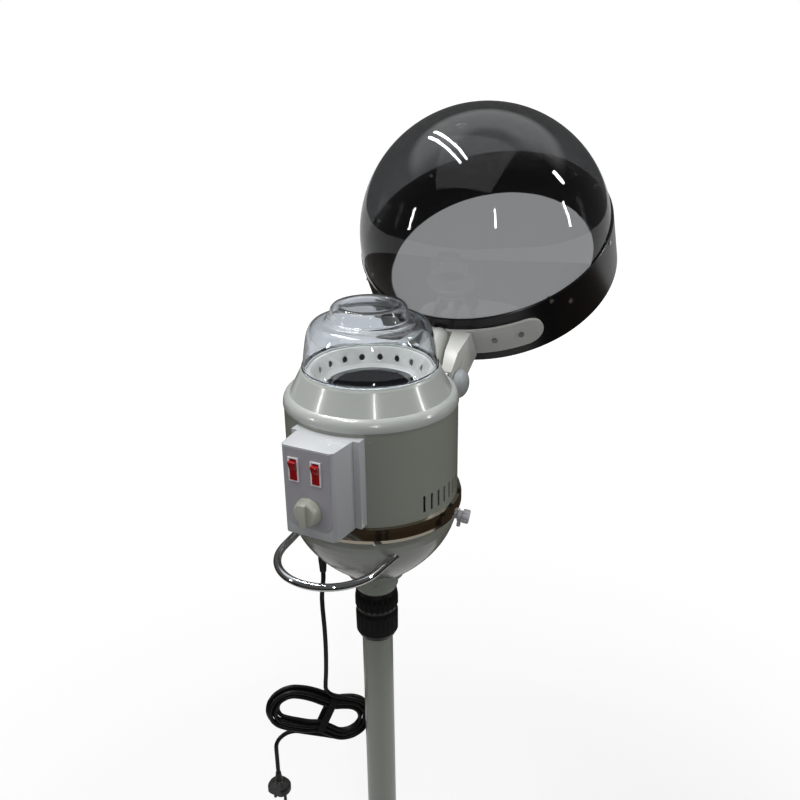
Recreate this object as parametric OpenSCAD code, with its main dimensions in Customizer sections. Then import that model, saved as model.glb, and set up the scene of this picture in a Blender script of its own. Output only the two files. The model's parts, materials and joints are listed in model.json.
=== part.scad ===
// Hair steamer on a castor stand: steam head, smoked hood on a tilting arm, mains lead tied in a hank.
// Millimetres, +Z up, control panel towards -Y, hood towards +Y. The origin is on the floor, on the pole's axis.

/* [Stand] */
// Height of the steam head's top seam above the floor, with the pole lowered
seam_z = 1190; // [1120:5:1250]
// Outside diameter of the outer pole
pole_d = 44; // [40:1:46]
// Wall of both pole tubes
tube_wall = 1.5; // [1:0.1:2]
// Outside diameter of the sliding inner tube
inner_tube_d = 32; // [28:1:34]
// Travel of the inner tube
height_travel = 220; // [100:10:260]
// Distance from the pole's axis to each castor stem
castor_reach = 270; // [240:5:300]
// Diameter of the star base's hub
hub_d = 84; // [76:1:96]
// Height of the hub
hub_h = 58; // [50:1:70]
// Width of a leg at the hub
leg_root_w = 42; // [34:1:46]
// Width of a leg at its tip
leg_tip_w = 30; // [26:1:34]

/* [Castors] */
// Diameter of a castor wheel
wheel_d = 50; // [44:1:56]
// Width of one wheel of the pair
wheel_w = 17; // [14:1:20]
// Distance from the castor's stem to its axle
castor_trail = 20; // [16:1:24]
// Diameter of the castor's stem
stem_d = 10.4; // [9:0.2:11]

/* [Head] */
// Outside diameter of the drum
drum_d = 225; // [220:1:232]
// Height of the drum from the chassis to the top seam
drum_h = 130; // [126:1:136]
// Sheet thickness of the drum and the bowl
sheet_t = 1.5; // [1:0.1:2]
// Height of the top cover's flange
flange_h = 16; // [12:1:20]
// Diameter of the top cover's rim
rim_d = 177; // [172:1:182]
// Height of the top cover's rim above the seam
rim_h = 44.5; // [40:0.5:50]
// Height of the polished band
band_h = 22; // [18:1:24]
// Depth of the bowl from the band to its neck
bowl_h = 112; // [104:1:118]
// Outside diameter of the neck socket
neck_d = 62; // [58:1:66]
// Number of air slots in the drum
slot_n = 7; // [5:1:9]
// Width of a slot
slot_w = 3.6; // [2.5:0.1:4.5]
// Angle between neighbouring slots
slot_pitch = 6.3; // [5.5:0.1:7.5]
// Number of steam holes in the funnel
steam_hole_n = 18; // [12:1:20]
// Diameter of a steam hole
steam_hole_d = 8; // [6:0.5:9]
// Diameter of the water pot
pot_d = 104; // [96:1:106]
// Depth of the water pot
pot_h = 70; // [60:1:72]

/* [Clear cover] */
// Height of the clear cover above its seat
cover_h = 85; // [75:1:95]
// Wall of the clear cover
cover_wall = 2.5; // [2:0.1:3]
// Lift of the clear cover
cover_lift = 70; // [40:5:90]

/* [Controls] */
// Width of the control housing at its front
box_w = 71.4; // [68:0.2:76]
// Height of the control housing
box_h = 117; // [112:1:120]
// Distance from the pole's axis to the front of the housing
box_front = 157.8; // [152:0.2:162]
// Wall of the control housing
box_wall = 2.2; // [1.8:0.1:2.6]
// Width of the switch frames
switch_w = 14; // [13:0.5:15]
// Height of the switch frames
switch_h = 31; // [29:0.5:32]
// Distance between the two switches
switch_pitch = 30.6; // [28:0.2:33]
// Angle that a rocker turns through
rocker_swing = 18; // [12:1:20]
// Diameter of the timer knob
timer_d = 36; // [32:1:40]
// Height of the timer knob
timer_h = 16; // [12:1:18]

/* [Towel rail and drain] */
// Diameter of the towel rail's rod
rail_d = 10; // [8:0.5:11]
// Radius of the towel rail's front bend
rail_bend = 68.1; // [62:0.1:72]
// Distance from the pole's axis to the front of the rail
rail_front = 181.6; // [176:0.2:188]
// Splay of the rail's arms
rail_splay = 4.9; // [2:0.1:10]
// Diameter of the drain knob
drain_knob_d = 19; // [16:1:22]

/* [Arm and hood] */
// Distance from the pole's axis to the tilt axis
pivot_y = 161; // [155:1:168]
// Depth of the tilt axis below the top seam
pivot_drop = 29; // [24:1:34]
// Width of the arm across its cheeks
arm_w = 100; // [94:1:106]
// Radius of the arm's pivot lobe
lobe_r = 21; // [19:0.5:23]
// Distance from the pole's axis to the hood's centre
hood_y = 375.7; // [366:0.1:390]
// Height of the hood's centre above the top seam
hood_up = 147.7; // [140:0.1:156]
// Tilt of the hood from upright
hood_tilt = 29.8; // [26:0.1:34]
// Outside diameter of the hood's band
band_d = 399; // [390:1:408]
// Height of the hood's band
hood_band_h = 88; // [84:1:94]
// Radius of the dome's outer surface
dome_r = 196.7; // [192:0.1:199]
// Wall of the dome
dome_wall = 3; // [2.5:0.1:4]
// Half the angle that the arm's wings wrap round the band
wing_sweep = 43.5; // [38:0.5:48]
// Height of a wing
wing_h = 47.5; // [40:0.5:50]

/* [Mains lead] */
// Diameter of the mains lead
cord_d = 6.5; // [6:0.1:7]
// Turns in the hank
hank_turns = 5.5; // [3.5:1:5.5]
// Step between neighbouring turns of the hank
hank_step = 7.5; // [7.4:0.1:8]

/* [Hidden] */

// Clearances
run_gap = 0.3;
seat_gap = 0.1;

// Stand heights
castor_h = 62;
leg_floor_z = castor_h;
hub_z = leg_floor_z + 2;
wheel_r = wheel_d / 2;
pole_seat_z = hub_z + 8;

// Head stations, as heights above the floor
drum_r = drum_d / 2;
band_top_z = seam_z - 127;
band_bot_z = band_top_z - band_h;
rim_z = seam_z + rim_h;
bowl_top_z = seam_z - drum_h - 2;
neck_top_z = band_bot_z - bowl_h;
neck_bot_z = neck_top_z - 26;
collar_top_z = neck_bot_z - 0.6;
collar_h = 77;
collar_bot_z = collar_top_z - collar_h;
pole_top_z = collar_top_z - 14;
bush_h = 60;
inner_tube_r = inner_tube_d / 2;
pole_r = pole_d / 2;
tube_bot_z = pole_top_z - bush_h - height_travel - 20;
tube_top_z = neck_top_z + 30;
chassis_z = bowl_top_z;
chassis_t = 2;

// Arm and hood frame, and how far the hood tilts up from where it is drawn
tilt_up = 20;
pivot_z = seam_z - pivot_drop;
cheek_t = 4;
band_r = band_d / 2;
band_wall = 2.6;
wing_t = 4;
wing_drop = 20;
wing_mid = -wing_drop - wing_h / 2;
wing_r = band_r + wing_t;
hood_z = seam_z + hood_up;
duct_drop = 30;
ball_r = 17;
cup_wall = 3;
spout_r = 11;

// Controls
panel_w = box_w - 8;
panel_proud = 0.8;
panel_t = 2;
box_top_z = seam_z - 5;
box_bot_z = box_top_z - box_h;
switch_z = box_top_z - 29;
switch_x = [-2.2 - switch_pitch / 2, -2.2 + switch_pitch / 2];
timer_z = box_bot_z + 36;
timer_x = 0;
panel_face = box_front + panel_proud;
rocker_y = -box_front + 3;

// Towel rail and drain
rail_z = seam_z - 174.7;
drain_z = seam_z - 160;
drain_az = 15;
hose_r = 5;
hose_reach = 46;
fan_r = 36;

// Mains lead: where it leaves the bowl, its route down to the hank, the hank's frame and the tail's route
gland_x = -62;
gland_y = -40;
gland_end = -258;
gland_up = 53;
lead_route = [[-62, -40, -258], [-62.3, -40, -270], [-64.5, -39.6, -285], [-67, -38.7, -302], [-68, -37.5, -320],
    [-68.3, -36, -340], [-68.5, -34.5, -360], [-69.2, -33, -380], [-70.6, -31, -402], [-72.6, -29, -425],
    [-75.2, -27, -450], [-77.9, -25.6, -472], [-78.3, -25.1, -480], [-77.4, -23.7, -485.5], [-75.4, -21.6, -490.5],
    [-72.3, -18.8, -494.6]];
tail_route = [[-120.8, -52.9, -557.3], [-125.8, -57.5, -557], [-130.8, -61.9, -558.4], [-135.2, -65.9, -561.6],
    [-139, -69.3, -566.2], [-141.7, -71.7, -571.9], [-143.2, -73.1, -578.4], [-143.5, -73.4, -584],
    [-143.5, -73.4, -600], [-143.5, -73.4, -616], [-143.5, -73.4, -632]];
hank_c = [-90, -30, -528];
hank_heading = 42;
hank_tip = 25;
hank_run = 45;
hank_in = 19.5;
hank_layer = 7.2;
hank_start = 17;
hank_mean = 30;
hank_back = 2.5;
climb_from = 2.34;
climb_to = 2.6;
waist_x = 12;
waist_in = 6;
waist_half = 32;
// Rings of one turn: the steps along the start run, an end arc, the lower run, the other arc, the closing run
turn_steps = [2, 7, 5, 7, 3];
plug_l = 55;

function arc_pts(c, r, a0, a1, n) =
    [for (i = [0:n]) let(a = a0 + (a1 - a0) * i / n) [c[0] + r * cos(a), c[1] + r * sin(a)]];
function bezier(a, b, c, d, n) =
    [for (i = [0:n]) let(t = i / n, s = 1 - t) s * s * s * a + 3 * s * s * t * b + 3 * s * t * t * c + t * t * t * d];
function backwards(p) = [for (i = [len(p) - 1:-1:0]) p[i]];
// A polyline moved sideways by d, to the left of its direction
function moved(p, d) =
    [for (i = [0:len(p) - 1]) let(a = p[max(i - 1, 0)], b = p[min(i + 1, len(p) - 1)], t = (b - a) / norm(b - a))
        p[i] + d * [-t[1], t[0]]];
// A skin of thickness d on the right of a polyline
function skin(p, d) = concat(p, backwards(moved(p, -d)));

module ring(ro, ri, h) { difference() { cylinder(r = ro, h = h); translate([0, 0, -1]) cylinder(r = ri, h = h + 2); } }
module turned(pts) { rotate_extrude($fn = 128) polygon(pts); }
// A profile drawn in Y and Z, extruded along X between two stations
module side_profile(pts, x0, x1) { translate([x0, 0, 0]) rotate([90, 0, 90]) linear_extrude(x1 - x0) polygon(pts); }
module both_sides() { children(); mirror([1, 0, 0]) children(); }
module in_hood() { translate([0, hood_y, hood_z]) rotate([hood_tilt, 0, 0]) children(); }
// In the hood's frame: a rod along the radius at an angle from the front, height h, from radius r0 to r1
module hood_rod(az, h, r0, r1, r) {
    rotate([0, 0, az]) translate([0, -r0, h]) rotate([90, 0, 0]) cylinder(r = r, h = r1 - r0, $fn = 40);
}

$fn = 64;

// Stand

module leg() {
    side = [[20, hub_z], [castor_reach + 20, leg_floor_z], [castor_reach + 20, leg_floor_z + 19],
        [castor_reach - 6, leg_floor_z + 27], [hub_d / 2, hub_z + hub_h - 12], [20, hub_z + hub_h - 12]];
    plan = concat([[20, leg_root_w / 2], [20, -leg_root_w / 2]],
        arc_pts([castor_reach, 0], leg_tip_w / 2 + 1, -90, 90, 18));
    intersection() {
        rotate([90, 0, 0]) translate([0, 0, -leg_root_w]) linear_extrude(2 * leg_root_w) polygon(side);
        linear_extrude(leg_floor_z + 2 * hub_h) polygon(plan);
    }
}

module star_base() {
    color("#2b2c2e")
    difference() {
        union() {
            translate([0, 0, hub_z]) turned([[0, 0], [hub_d / 2, 0], [hub_d / 2, hub_h - 8], [hub_d / 2 - 8, hub_h],
                [0, hub_h]]);
            for (i = [0:4]) rotate([0, 0, 90 + 72 * i]) leg();
        }
        translate([0, 0, pole_seat_z]) cylinder(r = pole_r + seat_gap, h = hub_h);
        translate([0, 0, hub_z - 1]) cylinder(r = 5.4, h = 12);
        for (i = [0:4]) rotate([0, 0, 90 + 72 * i]) translate([castor_reach, 0, leg_floor_z - 1])
            cylinder(r = stem_d / 2 + run_gap, h = 23);
    }
}

module outer_pole() {
    color("#d5d7d2")
    difference() {
        translate([0, 0, pole_seat_z]) cylinder(r = pole_r, h = pole_top_z - pole_seat_z);
        translate([0, 0, pole_seat_z + 14]) cylinder(r = pole_r - tube_wall, h = pole_top_z);
        translate([0, 0, pole_seat_z - 1]) cylinder(r = 5, h = 20);
    }
}

module pole_bolt() {
    color("#8a8d90") {
        translate([0, 0, hub_z - 8]) cylinder(r = 9, h = 6.4, $fn = 6);
        translate([0, 0, hub_z - 1.6]) cylinder(r = 14, h = 1.6);
        translate([0, 0, hub_z - 2]) cylinder(r = 4.9, h = pole_seat_z - hub_z + 13);
    }
}

// Castors: the angle of each trail, so that they stand as they rolled
castor_turn = [100, 140, 75, 120, 95];
module castor_place(i) {
    rotate([0, 0, 90 + 72 * i]) translate([castor_reach, 0, 0]) rotate([0, 0, castor_turn[i]]) children();
}
wheel_in = 4.5;
module castor_body(i) {
    hood_w = 2 * (wheel_in + 0.7 * wheel_w);
    color("#1d1e20") castor_place(i) difference() {
        union() {
            translate([0, 0, 44]) cylinder(r = 11, h = castor_h - 46);
            translate([0, 0, 50]) cylinder(r = stem_d / 2, h = castor_h - 30);
            translate([castor_trail, hood_w / 2, wheel_r]) rotate([90, 0, 0]) cylinder(r = wheel_r + 4.5, h = hood_w);
        }
        for (s = [-1, 1]) translate([castor_trail, s * (wheel_in - 0.5 + wheel_w), wheel_r]) rotate([90, 0, 0])
            cylinder(r = wheel_r + 1.5, h = 2 * wheel_w, center = true);
        for (s = [-1, 1]) translate([castor_trail, s * (wheel_in - 0.5 + 20), wheel_r - 20 + 3])
            cube([4 * wheel_r, 40, 40], center = true);
        difference() {
            translate([castor_trail - 50, -5, -50]) cube([100, 10, 50 + wheel_r]);
            translate([castor_trail, 6, wheel_r]) rotate([90, 0, 0]) cylinder(r = wheel_r - 7, h = 12);
        }
        translate([castor_trail, 10, wheel_r]) rotate([90, 0, 0]) cylinder(r = 4 + run_gap, h = 20);
    }
}
module castor_wheels(i) {
    wheel = [[4, 0], [wheel_r - 2, 0], [wheel_r, 2], [wheel_r, wheel_w - 4], [wheel_r - 2, wheel_w - 1.5],
        [wheel_r - 5, wheel_w], [wheel_r - 7, wheel_w - 3], [8, wheel_w - 3], [7, wheel_w], [0, wheel_w], [0, 0]];
    color("#26272a") castor_place(i) translate([castor_trail, 0, wheel_r]) {
        for (s = [-90, 90]) rotate([s, 0, 0]) translate([0, 0, wheel_in]) turned(wheel);
        translate([0, wheel_in + 1, 0]) rotate([90, 0, 0]) cylinder(r = 4, h = 2 * wheel_in + 2);
    }
}

module guide_bush() {
    color("#e9e9e6") {
        translate([0, 0, pole_top_z - bush_h])
            ring(pole_r - tube_wall - seat_gap, inner_tube_r + run_gap, bush_h);
        translate([0, 0, pole_top_z]) ring(pole_r - 0.2, inner_tube_r + run_gap, 3);
    }
}

module lock_collar() {
    h = collar_h;
    collar_r = pole_r + 8.6;
    side = [[pole_r + 0.4, 0], [collar_r - 5, 0], [collar_r - 0.8, 8], [collar_r - 0.4, h - 39], [collar_r - 2, h - 34],
        [collar_r - 2, h - 32], [collar_r, h - 26], [collar_r, h - 14], [collar_r - 1.4, h - 5], [collar_r - 3.4, h],
        [inner_tube_r + 0.5, h], [inner_tube_r + 0.5, h - 7], [pole_r + 0.4, h - 8]];
    color("#161617") difference() {
        translate([0, 0, collar_bot_z]) turned(side);
        for (i = [0:23]) rotate([0, 0, 15 * i]) translate([collar_r + 0.9, 0, collar_bot_z + 6])
            cylinder(r = 2, h = h - 10, $fn = 16);
    }
}

module inner_tube() {
    color("#c9cccf") translate([0, 0, tube_bot_z]) ring(inner_tube_r, inner_tube_r - tube_wall, tube_top_z - tube_bot_z);
}

// Steam head

module neck_socket() {
    nr = neck_d / 2;
    side = [[inner_tube_r + seat_gap, 0], [nr - 3.5, 0], [nr, 7], [nr, 26], [nr - 0.4, 26], [nr - 0.4, 42],
        [nr + 7, 42], [nr + 7, 48], [28, 48], [24, 52], [24, tube_top_z - neck_bot_z + 4], [8, tube_top_z - neck_bot_z + 4],
        [8, tube_top_z - neck_bot_z + 0.2], [inner_tube_r + seat_gap, tube_top_z - neck_bot_z + 0.2]];
    color("#c4c7c2") difference() {
        translate([0, 0, neck_bot_z]) turned(side);
        for (a = [27, 147, 267]) rotate([0, 0, a]) translate([0, 0, neck_bot_z + 21]) rotate([90, 0, 0])
            cylinder(r = 2.6, h = 60);
        for (a = [45:90:315]) rotate([0, 0, a]) translate([nr + 3, 0, neck_bot_z + 40]) cylinder(r = 2.2, h = 12);
    }
}
module neck_screws() {
    nr = neck_d / 2;
    color("#55585c") {
        for (a = [27, 147, 267]) rotate([0, 0, a]) translate([0, -inner_tube_r - 0.4, neck_bot_z + 21])
            rotate([90, 0, 0]) difference() {
                cylinder(r = 2.5, h = nr - inner_tube_r - 1.5);
                translate([0, 0, nr - inner_tube_r - 4]) cylinder(r = 1.4, h = 9, $fn = 6);
            }
        for (a = [45:90:315]) rotate([0, 0, a]) translate([nr + 3, 0, neck_bot_z + 48]) {
            cylinder(r = 3.8, h = 3);
            translate([0, 0, -13]) cylinder(r = 2.1, h = 14);
        }
    }
}

bowl_r = drum_r + 0.5;
drain_pipe_r = 6;
gland_r = cord_d / 2 + seat_gap + 2.65;
bowl_side = concat([[bowl_r, bowl_top_z]], bezier([bowl_r, band_bot_z], [bowl_r - 1, band_bot_z - 0.4 * bowl_h],
    [neck_d / 2 + 39, neck_top_z + 27], [neck_d / 2 + 0.1, neck_top_z], 14));
// The rail's arms: where each one's axis starts and its heading, from the front bend's ends
rail_bend_y = -(rail_front - rail_bend);
rail_arm = [rail_bend * cos(rail_splay), rail_bend_y - rail_bend * sin(rail_splay)];
rail_arm_len = 41;
module rail_arms(r, l, from = -0.5) {
    both_sides() translate([rail_arm[0], rail_arm[1], rail_z]) rotate([0, 0, -rail_splay]) rotate([-90, 0, 0])
        translate([0, 0, from]) cylinder(r = r, h = l - from);
}
module drain_line(r, r0, r1) {
    rotate([0, 0, drain_az]) translate([r0, 0, drain_z]) rotate([0, 90, 0]) cylinder(r = r, h = r1 - r0);
}
module bottom_bowl() {
    color("#cfd2cc") difference() {
        union() {
            turned(skin(bowl_side, sheet_t));
            translate([0, 0, neck_top_z]) cylinder(r = neck_d / 2 + 9, h = 16);
        }
        translate([0, 0, neck_top_z - 1]) cylinder(r = neck_d / 2 + seat_gap, h = 30);
        for (a = [45:90:315]) rotate([0, 0, a]) translate([neck_d / 2 + 3, 0, neck_top_z + 4]) cylinder(r = 2.2, h = 14);
        rail_arms(rail_d / 2 + seat_gap, rail_arm_len + 2 * rail_d);
        drain_line(drain_pipe_r + seat_gap, drum_r - 22, drum_r + 18);
        translate([gland_x, gland_y, neck_top_z - 20]) cylinder(r = gland_r + seat_gap, h = bowl_h);
    }
}

band_proud = 5.1;
module steel_band() {
    r = bowl_r + seat_gap;
    outer = [[r, 0], [r + 3.7, 1], [r + band_proud, 6], [r + band_proud, band_h - 6], [r + 3.7, band_h - 1], [drum_r + seat_gap, band_h]];
    inner = [[drum_r + seat_gap, band_h - 1.2], [r + 2.6, band_h - 2.1], [r + 3.9, band_h - 6.4], [r + 3.9, 6.4],
        [r + 2.6, 2.1], [r, 1.2]];
    color("#b9bcc0") translate([0, 0, band_bot_z]) turned(concat(outer, inner));
}

leg_r = hose_reach + 6;
module chassis_plate() {
    color("#a9acae") difference() {
        translate([0, 0, chassis_z]) cylinder(r = bowl_r - 0.5, h = chassis_t);
        translate([0, 0, chassis_z - 1]) cylinder(r = 8, h = 5);
        rotate([0, 0, drain_az]) translate([hose_reach, 0, chassis_z - 1]) cylinder(r = hose_r + 2, h = 5);
        for (a = [60:60:300]) rotate([0, 0, a + 15]) translate([90, 0, chassis_z - 1]) cylinder(r = 9, h = 5);
        for (a = [45:90:315]) rotate([0, 0, a]) translate([17, 0, chassis_z - 1]) cylinder(r = 1.8, h = 5);
    }
}

slot_mid = 82;
module drum_shell() {
    color("#cdd0c9") difference() {
        translate([0, 0, seam_z - drum_h]) ring(drum_r, drum_r - sheet_t, drum_h);
        for (i = [0:slot_n - 1]) rotate([0, 0, slot_mid + (i - (slot_n - 1) / 2) * slot_pitch])
            translate([-slot_w / 2, -drum_r - 5, seam_z - 118.5]) cube([slot_w, 12, 23]);
        translate([-26, -drum_r - 5, box_bot_z + 12]) cube([52, 30, box_h - 24]);
        translate([0, drum_r - 20, pivot_z]) rotate([-90, 0, 0]) cylinder(r = spout_r + seat_gap, h = 30);
        bracket_holes(2.2, 20);
    }
}
// The four holes that hold the arm's bracket to the drum
module bracket_holes(r, l) {
    for (x = [-28, 28], z = [-20, -62]) translate([x, drum_r - l, seam_z + z]) rotate([-90, 0, 0])
        cylinder(r = r, h = 2 * l);
}

rim_r = rim_d / 2;
module top_cover() {
    fr = drum_r + 1;
    foot = [[fr - 4.1, -8], [fr - 2.7, -8], [fr - 2.7, 0]];
    shoulder = bezier([fr, 0], [fr, 0.55 * flange_h], [fr - 3, 0.85 * flange_h], [fr - 9.2, flange_h - 0.6], 8);
    cone = [[fr - 9.7, flange_h - 1.4], [fr - 10.4, flange_h], [rim_r + 1.2, rim_h - 2.4], [rim_r - 0.6, rim_h]];
    inner = [[rim_r - 8.3, rim_h], [rim_r - 8.3, rim_h - 3], [rim_r - 13, rim_h - 3], [rim_r - 13, rim_h - 5.4],
        [rim_r - 3, rim_h - 5.4], [fr - 12.8, flange_h - 2.6], [fr - 8.8, flange_h - 4.4], [fr - 5.4, 0.46 * flange_h],
        [fr - 4.1, 0]];
    color("#d8dbd5") translate([0, 0, seam_z]) turned(concat(foot, shoulder, cone, inner));
}

module cover_seal() {
    color("#e8e8e4") translate([0, 0, rim_z]) ring(rim_r - 1.2, rim_r - 7.8, 1.5);
}

cover_z = rim_z + 1.5;
// The clear cover's outer profile, from its foot to the crown of its top tier, as radius and height
cover_foot_r = rim_r - 1;
tier_r = 52;
cover_side = concat([[cover_foot_r, 0], [cover_foot_r, 3]],
    bezier([cover_foot_r - 1.5, 4], [cover_foot_r - 4, 0.3 * cover_h], [cover_foot_r - 7, 0.5 * cover_h],
        [cover_foot_r - 9, 0.55 * cover_h], 4),
    bezier([cover_foot_r - 11, 0.6 * cover_h], [cover_foot_r - 15, 0.69 * cover_h],
        [cover_foot_r - 22, 0.7 * cover_h], [tier_r + 2, 0.71 * cover_h], 5),
    bezier([tier_r, 0.73 * cover_h], [tier_r - 1.5, 0.95 * cover_h], [tier_r - 6, cover_h], [0, cover_h], 9));
module clear_cover() {
    inner = [for (p = backwards(moved(cover_side, cover_wall))) [max(p[0], 0), p[1]]];
    color("#cfe0ea", 0.35) translate([0, 0, cover_z]) turned(concat(cover_side, [[0, cover_h - cover_wall]],
        [for (i = [1:len(inner) - 2]) inner[i]], [[cover_foot_r - 6, 0]]));
}

seat_z = seam_z + 17.5;
hole_ring_r = 70;
module inner_funnel() {
    top = [[rim_r - 8.7, rim_h - 1], [rim_r - 13, rim_h - 1], [rim_r - 14.5, rim_h - 4], [pot_d / 2 + 15, 23],
        [pot_d / 2 + 12, 19], [pot_d / 2 + 9, 17.5], [pot_d / 2 + 3.5, 17.5]];
    under = [[pot_d / 2 + 3.5, 15.5], [pot_d / 2 + 9.6, 15.5], [pot_d / 2 + 13.6, 17.5], [pot_d / 2 + 17, 22],
        [rim_r - 13.2, rim_h - 6], [rim_r - 13.2, rim_h - 3], [rim_r - 8.7, rim_h - 3]];
    color("#dfe1dc") difference() {
        translate([0, 0, seam_z]) turned(concat(top, under));
        for (i = [0:steam_hole_n - 1]) rotate([0, 0, 8.3 + 360 / steam_hole_n * i])
            translate([hole_ring_r - 12, 0, seam_z + 27]) rotate([0, 75, 0]) cylinder(r = steam_hole_d / 2, h = 24, $fn = 32);
    }
}

module water_pot() {
    pr = pot_d / 2;
    top = seat_z + 2;
    bot = top - pot_h;
    color("#17181a") difference() {
        union() {
            translate([0, 0, top - 2]) cylinder(r = pr + 8, h = 2);
            translate([0, 0, bot]) cylinder(r = pr, h = pot_h - 1);
            rotate([0, 0, drain_az]) translate([hose_reach, 0, bot - 12]) cylinder(r = hose_r - 1.1, h = 13);
        }
        translate([0, 0, bot + 2]) cylinder(r = pr - 2, h = pot_h + 4);
        rotate([0, 0, drain_az]) translate([hose_reach, 0, bot - 13]) cylinder(r = 2.4, h = 20);
    }
}
pot_bot_z = seat_z + 2 - pot_h;

module pot_bracket() {
    color("#9a9da0") {
        difference() {
            translate([0, 0, pot_bot_z - 2.2]) ring(leg_r + 6, 40, 2);
            rotate([0, 0, drain_az]) translate([hose_reach, 0, pot_bot_z - 4]) cylinder(r = hose_r + 1, h = 6);
        }
        for (a = [90, 210, 330]) rotate([0, 0, a]) translate([leg_r, 0, chassis_z + chassis_t])
            cylinder(r = 4, h = pot_bot_z - 2 - chassis_z - chassis_t);
    }
}

module heater_element() {
    color("#6d7075") {
        translate([0, 0, pot_bot_z - 4.2]) rotate_extrude() translate([30, 0]) circle(r = 4, $fn = 24);
        for (s = [-1, 1]) translate([-30, 8 * s, pot_bot_z - 22]) cylinder(r = 2.5, h = 18);
    }
}

module thermal_cutout() {
    color("#d9d6c8") {
        translate([0, 0, pot_bot_z - 8]) cylinder(r = 8.5, h = 7.9);
        translate([0, 0, pot_bot_z - 2.2]) ring(12, 8, 1.6);
    }
}

module fan_motor() {
    color("#5c5f63") {
        translate([0, 0, chassis_z - 36]) cylinder(r = 21, h = 36);
        translate([0, 0, chassis_z - 2]) cylinder(r = 3, h = 34);
        for (a = [45:90:315]) rotate([0, 0, a]) translate([17, 0, chassis_z - 2]) cylinder(r = 1.7, h = 6);
    }
}

module fan_wheel() {
    z0 = chassis_z + chassis_t + 5;
    color("#e4e4df") difference() {
        union() {
            translate([0, 0, z0]) cylinder(r = 8, h = 20);
            translate([0, 0, z0]) cylinder(r = fan_r, h = 1.8);
            translate([0, 0, z0 + 20.2]) ring(fan_r, fan_r - 10, 1.8);
            for (i = [0:17]) rotate([0, 0, 20 * i]) translate([fan_r - 10, -0.9, z0 + 1]) cube([9.5, 1.8, 20]);
        }
        translate([0, 0, z0 - 1]) cylinder(r = 3 + run_gap, h = 30);
    }
}

module terminal_block() {
    color("#dcdcd2") translate([-90, 38, chassis_z + chassis_t]) difference() {
        cube([40, 16, 16]);
        for (i = [0:3]) translate([5 + 10 * i, 8, 6]) cylinder(r = 2.6, h = 12);
    }
}

// Controls

front_w = box_w / 2;
plate_y = drum_r + 3.5;
// The housing's plan, drawn d inside its outer faces, with its back left open towards the drum
function box_plan(d, back) = [[-front_w + 4, -box_front + d], [front_w - 4, -box_front + d],
    [front_w - d, -box_front + 4 + 0.4 * d], [front_w + 3 - d, back], [-front_w - 3 + d, back],
    [-front_w + d, -box_front + 4 + 0.4 * d]];
panel_bot_z = box_bot_z + 12;
panel_top_z = box_top_z - 1.5;
module panel_outline(grow) {
    r = 14 + grow;
    c = panel_w / 2 - 14;
    polygon(concat([[-panel_w / 2 - grow, panel_top_z + grow]], arc_pts([-c, panel_bot_z + 14], r, 180, 270, 8),
        arc_pts([c, panel_bot_z + 14], r, 270, 360, 8), [[panel_w / 2 + grow, panel_top_z + grow]]));
}
// A shape drawn in X and Z, running back from a station in front of the pole
module from_front(y, depth) { translate([0, -y, 0]) rotate([90, 0, 0]) translate([0, 0, -depth]) linear_extrude(depth) children(); }

module control_housing() {
    back_w = front_w + 11.3;
    color("#d3d3d8") difference() {
        union() {
            translate([0, 0, box_bot_z]) linear_extrude(box_h) polygon(box_plan(0, -plate_y));
            translate([-back_w, -plate_y, box_bot_z]) cube([2 * back_w, 20, box_h]);
        }
        translate([0, 0, box_bot_z + box_wall]) linear_extrude(box_h - 2 * box_wall)
            polygon(box_plan(box_wall, -plate_y - 1));
        translate([-25, -plate_y - 2, box_bot_z + 13]) cube([50, 30, box_h - 26]);
        translate([0, 0, box_bot_z - 1]) cylinder(r = drum_r + seat_gap, h = box_h + 2, $fn = 128);
        translate([0, 0, band_bot_z - run_gap])
            cylinder(r = bowl_r + seat_gap + band_proud + run_gap, h = band_h + 2 * run_gap, $fn = 128);
        from_front(box_front + 1, 2.2) panel_outline(seat_gap);
        translate([-27, -box_front - 1, panel_bot_z + 6]) cube([54, 5, panel_top_z - panel_bot_z - 10]);
    }
}

module control_panel() {
    color("#cfcfd6") difference() {
        from_front(panel_face, panel_t) panel_outline(0);
        for (x = switch_x) translate([x - switch_w / 2 + 0.5, -panel_face - 1, switch_z - switch_h / 2 + 0.7])
            cube([switch_w - 1, 5, switch_h - 1.4]);
        translate([timer_x, -panel_face - 1, timer_z]) rotate([-90, 0, 0]) cylinder(r = 5.1, h = 5);
    }
}

// A switch frame's well is as wide as the rocker and its two running gaps
rocker_w = switch_w - 4.4;
rocker_l = switch_h - 6.8;
module switch_frames() {
    color("#e2e2e6") for (x = switch_x) translate([x, 0, switch_z]) difference() {
        union() {
            translate([-switch_w / 2, -panel_face - 1.6, -switch_h / 2]) cube([switch_w, 1.6, switch_h]);
            translate([-switch_w / 2 + 0.6, -panel_face - 0.5, -switch_h / 2 + 0.8])
                cube([switch_w - 1.2, 20, switch_h - 1.6]);
        }
        translate([-rocker_w / 2 - run_gap, -panel_face - 3, -rocker_l / 2 - 1.8])
            cube([rocker_w + 2 * run_gap, 16, rocker_l + 3.6]);
        translate([-rocker_w / 2 - 1.2, rocker_y, 0]) rotate([0, 90, 0]) cylinder(r = 1.6, h = rocker_w + 2.4);
    }
}
module rocker(x) {
    tip = rocker_l / 2;
    side = [[-8.3, tip], [-6.6, 3], [-6.2, 0], [-6.6, -3], [-8.3, -tip], [-1, -tip], [3, -5], [3, 5], [-1, tip]];
    color("#b3141a") translate([x, rocker_y, switch_z]) {
        rotate([rocker_swing / 2, 0, 0]) side_profile(side, -rocker_w / 2, rocker_w / 2);
        translate([-rocker_w / 2 - 1, 0, 0]) rotate([0, 90, 0]) cylinder(r = 1.3, h = rocker_w + 2);
    }
}
module left_rocker() { rocker(switch_x[0]); }
module right_rocker() { rocker(switch_x[1]); }

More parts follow.
